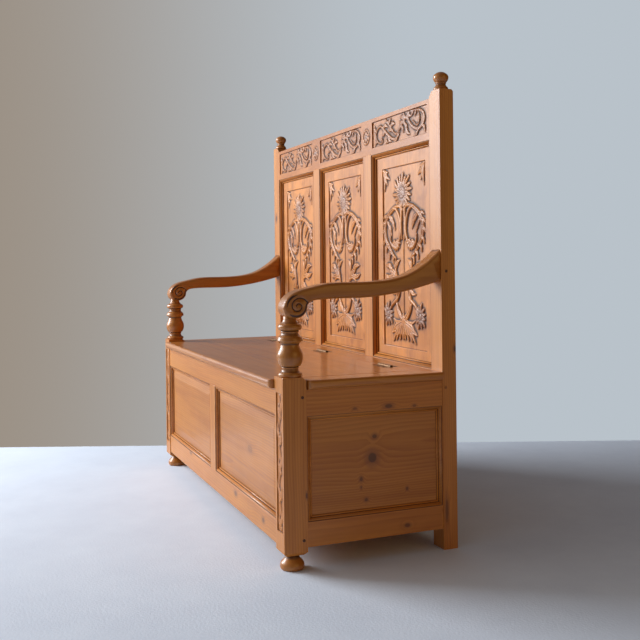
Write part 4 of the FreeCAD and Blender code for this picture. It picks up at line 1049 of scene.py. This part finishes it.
def lower_scroll(relief, at, side, rise):
    """The crossing leaves, the side flower and half of the fan at the foot."""
    relief.stem(at((44, -122), (56, -128), (70, -136), (82, -148)), (6, 6, 5, 3.5), rise)
    relief.stem(at((24, -96), (30, -110), (40, -122)), (3, 4, 4.5), rise)
    relief.leaf(*at((0, -178), (46, -126)), 11, -0.10 * side, rise, 1)
    relief.vein(at((6, -168), (22, -146), (40, -130)), 2.4, rise * 0.5)
    relief.leaf(*at((8, -176), (66, -176)), 6, -0.16 * side, rise * 0.85, 2)
    fan = (((0, -184), (6, -232), 9.5), ((4, -184), (26, -234), 10), ((8, -184), (48, -236), 10),
           ((10, -184), (68, -240), 9.5), ((12, -184), (76, -216), 8))
    for root, tip, half in fan:
        relief.leaf(*at(root, tip), half, 0.06 * side, rise, 2)
    relief.stem(at((0, -180), (34, -202), (70, -216)), (4, 4, 2.5), rise)
    relief.dab(side * 4 - 4, -180, 9, rise, rise * 0.4)
    relief.flower(side * 96 - 4, -164, lambda angle: 24 + 11 * abs(math.sin(angle)), 11, 6.4, rise, 9)
    # Grey-lilac tint round the side flower: wax bloom, and painted sheen
    relief.grey(side * 96 - 4, -164, 38, 0.9)


def corner_spray(relief, side, rise):
    """The leaf spray in an upper corner of a panel."""
    root = (side * 122, 249)
    leaves = (((96, 244), 6, 0.1), ((84, 222), 7, 0.08), ((100, 206), 7, 0.0), ((118, 190), 6.5, -0.1))
    for tip, half, bend in leaves:
        relief.leaf(root, (side * tip[0], tip[1]), half, bend * side, rise * 0.85, 2)
    relief.dab(*root, 6, rise * 0.9, rise * 0.3)


def carve_frieze(relief, rise):
    """The scrolls of foliage in a field of the top rail, in millimetres from the field's centre."""
    strands = (
        ([(-113, 19), (-130, 14), (-141, 0), (-138, -14), (-129, -25), (-111, -31), (-98, -27), (-104, -20)],
         (5, 5.5, 5.5, 5, 4.5, 4, 3.5, 3)),
        ([(-62, -32), (-72, -34), (-80, -31), (-74, -26), (-67, -28)], (3.5, 3.5, 3.5, 3, 2.5)),
        ([(-110, 19), (-88, 5), (-72, -7), (-54, -18), (-36, -27), (-15, -29), (1, -22), (5, -13)],
         (5, 6.5, 7, 7, 6.5, 6, 5, 3)),
        ([(-78, 33), (-64, 22), (-53, 13), (-40, 0), (-27, -10), (-12, -16), (3, -8), (20, 4), (36, 13)],
         (3.5, 5.5, 5, 5, 5, 5.5, 5.5, 5.5, 5)),
        ([(44, 20), (57, 15), (67, 5), (81, -7), (97, -15), (116, -19), (133, -14), (146, -4), (150, 8),
          (142, 21), (124, 30), (103, 33), (82, 34)],
         (4, 6, 6.5, 6.5, 6.5, 6.5, 6.5, 6.5, 6, 5.5, 5, 4.5, 4)),
        ([(117, 26), (123, 12), (121, 0), (112, -8), (99, -4), (84, 7)], (4, 4.5, 4.5, 4, 3.5, 3)),
    )
    for points, widths in strands:
        relief.stem(points, [0.72 * width for width in widths], rise)
    relief.vein(strands[2][0][1:-1], 2.0, rise * 0.45)
    relief.vein(strands[4][0][1:-2], 2.0, rise * 0.45)
    leaves = (
        ((-2, -20), (-30, -37), 6, 0.12), ((-96, 12), (-66, 10), 5, 0.2), ((-84, 2), (-104, -8), 5, 0.2),
        ((-60, -14), (-44, -34), 5, -0.2), ((-48, 8), (-22, 14), 6, 0.2), ((-66, 24), (-46, 33), 5, -0.2),
        ((-34, -4), (-58, -2), 5, -0.16), ((34, 12), (4, 15), 6.5, 0.10), ((36, 16), (10, 27), 6, -0.12),
        ((44, 20), (30, 36), 6, 0.12), ((48, 20), (66, 35), 6.5, -0.14), ((52, 18), (78, 20), 5, 0.16),
        ((36, 8), (54, -17), 6, 0.12), ((48, -6), (68, -28), 5.5, -0.16), ((116, -20), (90, -36), 5.5, 0.12),
        ((138, -12), (152, -32), 5, 0.2), ((-138, 6), (-152, 26), 5, 0.2),
        ((-132, -22), (-150, -34), 5, -0.2), ((18, 2), (30, -18), 5, 0.14), ((88, 30), (76, 22), 4, 0.0),
        ((104, 30), (96, 18), 4, 0.0),
    )
    for root, tip, half, bend in leaves:
        relief.leaf(root, tip, half, bend, rise * 0.92, 2)
    for eye in ((-103, -21), (80, 33), (-70, -29)):
        relief.dab(*eye, 5.5, rise * 1.05, rise * 0.4)
    # Raised strands get the grey-lilac tint by height: wax bloom, and painted sheen on the raised carving
    relief.bloom_and_sheen = np.clip(relief.high / rise, 0, 1) * 0.42


def carve_rosette(relief, rise):
    """A round flower in a ring."""
    for x, z in relief.ring(0, 0, 21, 80):
        relief.dab(x, z, 2.6, rise * 0.9)
    relief.flower(0, 0, lambda angle: 17.5, 8, 4.6, rise, 5)


def carve_strip(relief, rise):
    """The wave stem with leaves on a front post."""
    tall = relief.z[-1] - relief.z[0]
    waves = 5
    points = []
    for number in range(waves * 6 + 1):
        share = number / (waves * 6)
        points.append((8.5 * math.sin(math.pi * waves * share), -tall / 2 + 5 + (tall - 10) * share))
    relief.stem(points, (2.6, 2.6), rise)
    for number in range(waves):
        z = -tall / 2 + tall * (number + 0.5) / waves
        side = -1 if number % 2 else 1
        relief.leaf((side * 6, z - 24), (-side * 9, z + 6), 7, 0.2 * side, rise, 3)
        relief.leaf((side * 8, z - 6), (side * 15, z + 26), 5.5, -0.12 * side, rise * 0.9, 2)
        relief.leaf((side * 7, z + 2), (-side * 14, z - 14), 5.5, 0.15 * side, rise * 0.9, 2)


# Pieces

class SETTLE_OT_boards(bpy.types.Operator):
    """Give the posts, rails, panels and boards worn edges and their grain"""

    bl_idname = "settle.boards"
    bl_label = "Boards"

    def execute(self, context):
        wear = context.scene.settle_wear
        for side in SIDES:
            worn_board("front_post_" + side, "Z", wear.post_round, "frame")
            worn_board("back_post_" + side, "Z", wear.post_round, "frame")
            for level in ("top", "bottom"):
                worn_board("end_%s_rail_%s" % (level, side), "Y", wear.board_round, "frame")
            worn_board("end_panel_" + side, "Y", 0.0, "panel")
            worn_board("front_panel_" + side, "X", wear.board_round, "panel")
            worn_board("back_muntin_" + side, "Z", wear.board_round, "frame")
            worn_board("seat_end_strip_" + side, "Y", wear.seat_round, "seat")
            worn_board("lid_batten_" + side, "Y", wear.board_round, "inner")
        for name in ("front_top_rail", "front_bottom_rail", "back_seat_rail", "box_back_rail"):
            worn_board(name, "X", wear.board_round, "frame")
        worn_board("back_top_rail", "X", wear.board_round, "frieze")
        worn_board("front_muntin", "Z", wear.board_round, "frame")
        for bay in BAYS:
            worn_board("back_panel_" + bay, "Z", wear.board_round, "carved")
        worn_board("lid", "X", wear.seat_round, "seat")
        worn_board("seat_rear_strip", "X", wear.seat_round, "seat")
        for name in ("seat_ledger", "box_back_panel", "floor_bearer_front", "floor_bearer_rear"):
            worn_board(name, "X", wear.board_round, "inner")
        for number in range(1, 6):
            worn_board("floor_board_%d" % number, "Y", wear.board_round, "inner")
        return {"FINISHED"}


class SETTLE_OT_mouldings(bpy.types.Operator):
    """Finish the mouldings round the panels"""

    bl_idname = "settle.mouldings"
    bl_label = "Mouldings"

    def execute(self, context):
        names = ["%s_panel_mouldings_%s" % (place, side) for place in ("front", "end") for side in SIDES]
        names += ["back_panel_mouldings_" + bay for bay in BAYS]
        for name in names:
            self.finish_frame(name)
        return {"FINISHED"}

    def finish_frame(self, name):
        """Copy a frame of mouldings with its grain along each strip, painted shade in the quirks and along
        the inner edge, and a painted lilac highlight with wax bloom along the crest.
        """
        mesh = smooth_mesh(name, 30)
        points = points_of(mesh)
        low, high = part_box(name)
        flat = 0 if name.startswith("end") else 1
        run = 1 - flat
        inward = np.minimum.reduce([points[:, run] - low[run], high[run] - points[:, run],
                                    points[:, 2] - low.z, high.z - points[:, 2]])
        share = inward / inward.max()
        # Painted shade in the two quirks and a painted shadow line along the inner edge
        quirk_shade = np.maximum(self.line(share, 0.18, 0.06), self.line(share, 0.68, 0.06))
        set_numbers(mesh, "recess", np.clip(quirk_shade + (share > 0.97) * 0.5, 0, 1))
        # A painted lilac highlight along the crest, with wax bloom
        set_numbers(mesh, "overtone", self.line(share, 0.45, 0.14) * 0.45)
        set_grain(mesh, points, name, "Z" if name.startswith("back") else "XY"[flat == 0])
        replace_node("fine_" + name, name, mesh, "moulding")

    def line(self, share, middle, reach):
        """A soft line along the moulding at a share of its width."""
        return np.clip(1 - np.abs(share - middle) / reach, 0, 1)


class SETTLE_OT_turnings(bpy.types.Operator):
    """Finish the feet, the arm supports and the finials"""

    bl_idname = "settle.turnings"
    bl_label = "Turnings"

    def execute(self, context):
        for side in SIDES:
            for name in ("foot_", "arm_support_", "finial_"):
                piece = smooth_copy(name + side, "Z", "turned")
                groove_shade_and_dirt(piece.data, points_of(piece.data))
        return {"FINISHED"}


class SETTLE_OT_arms(bpy.types.Operator):
    """Finish the arms and cut the spirals in the sides of their scrolls"""

    bl_idname = "settle.arms"
    bl_label = "Arms"

    def execute(self, context):
        wear = context.scene.settle_wear
        for side in SIDES:
            node = "arm_" + side
            mesh = smooth_mesh(node, 50.0)
            arm = bpy.data.objects.new("arm_blank", mesh)
            context.scene.collection.objects.link(arm)
            low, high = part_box(node)
            eye = Vector((0.0, low.y + SCROLL_EYE[0], low.z + SCROLL_EYE[1]))
            for face in (low.x, high.x):
                self.cut_spiral(arm, face, eye, wear.spiral_deep)
            mesh = arm.data
            bpy.data.objects.remove(arm)
            mesh.shade_smooth()
            mesh.set_sharp_from_angle(angle=math.radians(50))
            points = points_of(mesh)
            set_grain(mesh, points, node, "Y")
            self.darken(mesh, points, (low.x, high.x), eye, wear.spiral_deep)
            replace_node("carved_" + node, node, mesh, "arm")
        return {"FINISHED"}

    def spiral(self, face, eye):
        """The line of a spiral on a side of the scroll, from its mouth to its eye.

        The turns are degrees from the rear over the top, the reaches millimetres from the eye.
        """
        turns = (10, 60, 100, 135, 180, 225, 270, 315, 360, 400, 440, 480, 540)
        reaches = (27.0, 22.0, 18.0, 15.8, 14.2, 12.6, 11.2, 10.7, 10.4, 8.6, 6.2, 4.4, 3.2)
        line = []
        for turn in range(turns[0], turns[-1] + 1, 10):
            radius = float(np.interp(turn, turns, reaches)) * MM
            angle = math.radians(turn)
            line.append((face, eye.y + radius * math.cos(angle), eye.z + radius * math.sin(angle)))
        return line

    def cut_spiral(self, arm, face, eye, deep):
        """Cut the groove of a spiral with a round gouge."""
        line = self.spiral(face, eye)
        curve = bpy.data.curves.new("gouge", "CURVE")
        curve.dimensions = "3D"
        curve.bevel_depth = deep
        curve.bevel_resolution = 2
        curve.use_fill_caps = True
        spline = curve.splines.new("POLY")
        spline.points.add(len(line) - 1)
        for point, place in zip(spline.points, line):
            point.co = (*place, 1.0)
            point.radius = 0.8
        gouge = bpy.data.objects.new("gouge", curve)
        bpy.context.scene.collection.objects.link(gouge)
        graph = bpy.context.evaluated_depsgraph_get()
        solid = bpy.data.meshes.new_from_object(gouge.evaluated_get(graph))
        tool = bpy.data.objects.new("gouge_mesh", solid)
        bpy.context.scene.collection.objects.link(tool)
        modifier = arm.modifiers.new("Cut", "BOOLEAN")
        modifier.operation = "DIFFERENCE"
        modifier.solver = "EXACT"
        modifier.object = tool
        graph = bpy.context.evaluated_depsgraph_get()
        result = bpy.data.meshes.new_from_object(arm.evaluated_get(graph))
        arm.modifiers.remove(modifier)
        arm.data = result
        bpy.data.objects.remove(gouge)
        bpy.data.objects.remove(tool)

    def darken(self, mesh, points, faces, eye, deep):
        """Paint shade and dirt in the grooves of the spirals."""
        inside = np.minimum(points[:, 0] - faces[0], faces[1] - points[:, 0])
        near = np.hypot(points[:, 1] - eye.y, points[:, 2] - eye.z) < SCROLL_REACH
        lying = (inside > 0.15 * MM) & (inside < deep * 1.05) & near
        set_numbers(mesh, "recess", np.where(lying, 1.0, 0.0))


class SETTLE_OT_carving(bpy.types.Operator):
    """Carve the panels and the top rail of the back and the strips of the front posts"""

    bl_idname = "settle.carving"
    bl_label = "Carving"

    def execute(self, context):
        wear = context.scene.settle_wear
        self.carve_back(wear)
        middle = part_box("back_top_rail")[0].z + FRIEZE_MIDDLE
        rosette = self.blank(ROSETTE_FIELD, 0)
        carve_rosette(rosette, wear.rosette_rise / MM)
        for side in SIDES:
            centre = (self.middle_of("back_muntin_" + side), middle)
            add_relief("rosette_" + side, rosette, centre, BACK_FACE - ROSETTE_LIFT, "X",
                       "frieze")
        strip = self.blank(STRIP_FIELD, 2.4)
        carve_strip(strip, wear.strip_rise / MM)
        for side in SIDES:
            post = "front_post_" + side
            centre = (self.middle_of(post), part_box(post)[0].z + STRIP_MIDDLE)
            add_relief("post_carving_" + side, strip, centre, POST_FACE + STRIP_SINK, "Z",
                       "strip")
        return {"FINISHED"}

    def carve_back(self, wear):
        """Carve the three panels and the three fields of the top rail."""
        panel = self.blank(PANEL_FIELD, 2.4)
        carve_panel(panel, wear.panel_rise / MM)
        frieze = self.blank(FRIEZE_FIELD, 2.0)
        carve_frieze(frieze, wear.frieze_rise / MM)
        rail_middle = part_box("back_top_rail")[0].z + FRIEZE_MIDDLE
        for bay in BAYS:
            board = "back_panel_" + bay
            centre = self.middle_of(board)
            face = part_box(board)[0].y
            add_relief("carving_" + bay, panel, (centre, SEAT_TOP + PANEL_MIDDLE), face + FIELD_SINK, "Z",
                       "carved")
            add_relief("frieze_" + bay, frieze, (centre, rail_middle), BACK_FACE + FIELD_SINK, "X",
                       "frieze")

    def blank(self, field, border):
        """An uncarved field with a painted shadow along its border, of a width in millimetres."""
        step = bpy.context.scene.settle_wear.carving_step / MM
        return Relief(*field, step, border)

    def middle_of(self, node):
        """The middle of a node from side to side."""
        low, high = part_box(node)
        return (low.x + high.x) / 2


class SETTLE_OT_hinges(bpy.types.Operator):
    """Finish the hinges with their pins and set their screws"""

    bl_idname = "settle.hinges"
    bl_label = "Hinges and Screws"

    def execute(self, context):
        for name in ("hinge_seat_leaves", "hinge_lid_leaves"):
            smooth_copy(name, "X", "brass", 30.0)
        smooth_copy("hinge_pins", "X", "iron", 30.0)
        tree = screw_tree()
        for node in ("hinge_seat_screws", "hinge_lid_screws"):
            boxes = solids_of(node)
            places = [((low[0] + high[0]) / 2, (low[1] + high[1]) / 2, high[2]) for low, high in boxes]
            size = boxes[0][1] - boxes[0][0]
            sizes = {"Length": size[2] - 2.5 * MM, "Head Radius": size[0] / 2 - 0.1 * MM}
            mesh = tree.apply("slotted_" + node, places, [(0.0, 0.0, 0.0)] * len(places), sizes)
            replace_node("slotted_" + node, node, mesh, "iron")
        return {"FINISHED"}


class SETTLE_OT_pegs(bpy.types.Operator):
    """Set a hand-cut peg at each joint"""

    bl_idname = "settle.pegs"
    bl_label = "Pegs"

    def execute(self, context):
        node = "frame_pegs"
        places = []
        turns = []
        quarter = math.pi / 2
        for low, high in solids_of(node):
            middle = (low + high) / 2
            if high[0] - low[0] > high[1] - low[1]:
                outward = 1 if middle[0] > 0 else -1
                places.append((high[0] if outward > 0 else low[0], middle[1], middle[2]))
                turns.append((0.0, quarter * outward, 0.0))
            else:
                places.append((middle[0], high[1], middle[2]))
                turns.append((-quarter, 0.0, 0.0))
        sizes = {"Proud": context.scene.settle_wear.peg_proud}
        mesh = peg_tree().apply("cut_pegs", places, turns, sizes)
        replace_node("cut_pegs", node, mesh, "peg")
        return {"FINISHED"}


# Lamps: name, place, target, side in metres, power in watts, colour

LAMPS = (
    ("window", (-2.7, -3.1, 2.1), (0.0, 0.0, 0.55), 2.4, 260.0, (0.92, 0.96, 1.0)),
    ("sheen", (-4.0, -2.1, 1.0), (0.0, 0.0, 0.4), 2.2, 4.0, (0.68, 0.84, 1.0)),
    ("room", (-0.8, -4.2, 2.6), (0.0, 0.0, 0.6), 2.2, 30.0, (1.0, 0.90, 0.76)),
    ("end", (3.8, 1.4, 1.5), (0.6, 0.0, 0.5), 2.0, 12.0, (1.0, 0.60, 0.22)),
)
ROOM_DARK = (0.068, 0.034, 0.0085)
ROOM_LIGHT = (0.265, 0.30, 0.34)
FLOOR_REACH = 9.0


class SETTLE_OT_stage(bpy.types.Operator):
    """Add the floor, the background, the lamps and the camera"""

    bl_idname = "settle.stage"
    bl_label = "Stage"

    def execute(self, context):
        stage = context.scene.settle_stage
        azimuth = stage.camera_azimuth
        forward = Vector((-math.sin(azimuth), math.cos(azimuth), 0.0))
        beside = Vector((math.cos(azimuth), math.sin(azimuth), 0.0))
        self.floor(context, stage, forward, beside)
        for lamp in LAMPS:
            self.lamp(*lamp)
        self.world(context, stage, beside)
        self.camera(stage, forward)
        context.scene.view_settings.view_transform = "Standard"
        return {"FINISHED"}

    def floor(self, context, stage, forward, beside):
        """A floor that ends at the foot of the plain backdrop."""
        foot = Vector(stage.camera_place) + forward * stage.wall_away
        foot.z = 0.0
        near = foot - forward * 2 * FLOOR_REACH
        side = beside * FLOOR_REACH
        mesh = bpy.data.meshes.new("stage_floor")
        mesh.from_pydata([near - side, near + side, foot + side, foot - side], [], [(0, 1, 2, 3)])
        mesh.materials.append(mottled(stage.floor_colour, 0.12))
        floor = bpy.data.objects.new("stage_floor", mesh)
        context.scene.collection.objects.link(floor)

    def world(self, context, stage, beside):
        """A dim room that is lighter on the side of the window, and the wall's colours for the camera."""
        shader = Shader(bpy.data.worlds.new("settle_world"))
        x, y, z = shader.parts(shader.add("ShaderNodeTexCoord", {}, output=0))
        window = (x * -0.55 + y * -0.80 + z * 0.25).step(-0.5, 0.9)
        room = shader.mix(window, ROOM_DARK, ROOM_LIGHT)
        side = (x * beside.x + y * beside.y).step(-0.40, 0.14)
        wall = shader.mix(side, stage.wall_left, stage.wall_right)
        seen = shader.add("ShaderNodeLightPath", {}, output=0)
        inputs = {"Color": shader.mix(seen, room, wall), "Strength": 1.0}
        surface = shader.add("ShaderNodeBackground", {}, inputs)
        context.scene.world = shader.output("ShaderNodeOutputWorld", surface)

    def lamp(self, name, place, target, size, power, colour):
        """A square lamp that faces its target."""
        light = bpy.data.lights.new(name, "AREA")
        light.shape = "SQUARE"
        light.size = size
        light.energy = power
        light.color = colour
        lamp = bpy.data.objects.new(name, light)
        lamp.location = place
        way = Vector(target) - Vector(place)
        lamp.rotation_euler = way.to_track_quat("-Z", "Y").to_euler()
        lamp.visible_camera = False
        bpy.context.scene.collection.objects.link(lamp)

    def camera(self, stage, forward):
        """The camera at the photograph's place."""
        data = bpy.data.cameras.new("camera")
        data.sensor_width = 36.0
        data.lens = stage.camera_lens
        data.shift_y = stage.camera_shift
        camera = bpy.data.objects.new("camera", data)
        turn = forward.to_track_quat("-Z", "Y").to_matrix().to_4x4()
        roll = Matrix.Rotation(stage.camera_roll, 4, "Z")
        camera.matrix_world = Matrix.Translation(stage.camera_place) @ turn @ roll
        bpy.context.scene.collection.objects.link(camera)
        bpy.context.scene.camera = camera


class SETTLE_PT_panel(bpy.types.Panel):
    """The settle's settings and steps"""

    bl_label = "Settle Bench"
    bl_space_type = "VIEW_3D"
    bl_region_type = "UI"
    bl_category = "Settle"

    def draw(self, context):
        for group in (context.scene.settle_wear, context.scene.settle_colours, context.scene.settle_stage):
            for key in group.bl_rna.properties.keys():
                if key not in ("rna_type", "name"):
                    self.layout.prop(group, key)
        for step in STEPS:
            self.layout.operator(step.bl_idname)


STEPS = (SETTLE_OT_boards, SETTLE_OT_mouldings, SETTLE_OT_turnings, SETTLE_OT_arms, SETTLE_OT_carving,
         SETTLE_OT_hinges, SETTLE_OT_pegs, SETTLE_OT_stage)
GROUPS = {"settle_wear": SettleWear, "settle_colours": SettleColours, "settle_stage": SettleStage}


def register():
    """Register the classes and their settings."""
    for group in GROUPS.values():
        bpy.utils.register_class(group)
    for key, group in GROUPS.items():
        setattr(bpy.types.Scene, key, bpy.props.PointerProperty(type=group))
    for step in STEPS + (SETTLE_PT_panel,):
        bpy.utils.register_class(step)


def unregister():
    """Take the classes and their settings away."""
    for step in STEPS + (SETTLE_PT_panel,):
        bpy.utils.unregister_class(step)
    for key, group in GROUPS.items():
        delattr(bpy.types.Scene, key)
        bpy.utils.unregister_class(group)


def main():
    """Dress the frame."""
    register()
    make_materials()
    bpy.ops.settle.boards()
    bpy.ops.settle.mouldings()
    bpy.ops.settle.turnings()
    bpy.ops.settle.arms()
    bpy.ops.settle.carving()
    bpy.ops.settle.hinges()
    bpy.ops.settle.pegs()
    bpy.ops.settle.stage()


if __name__ == "__main__":
    main()
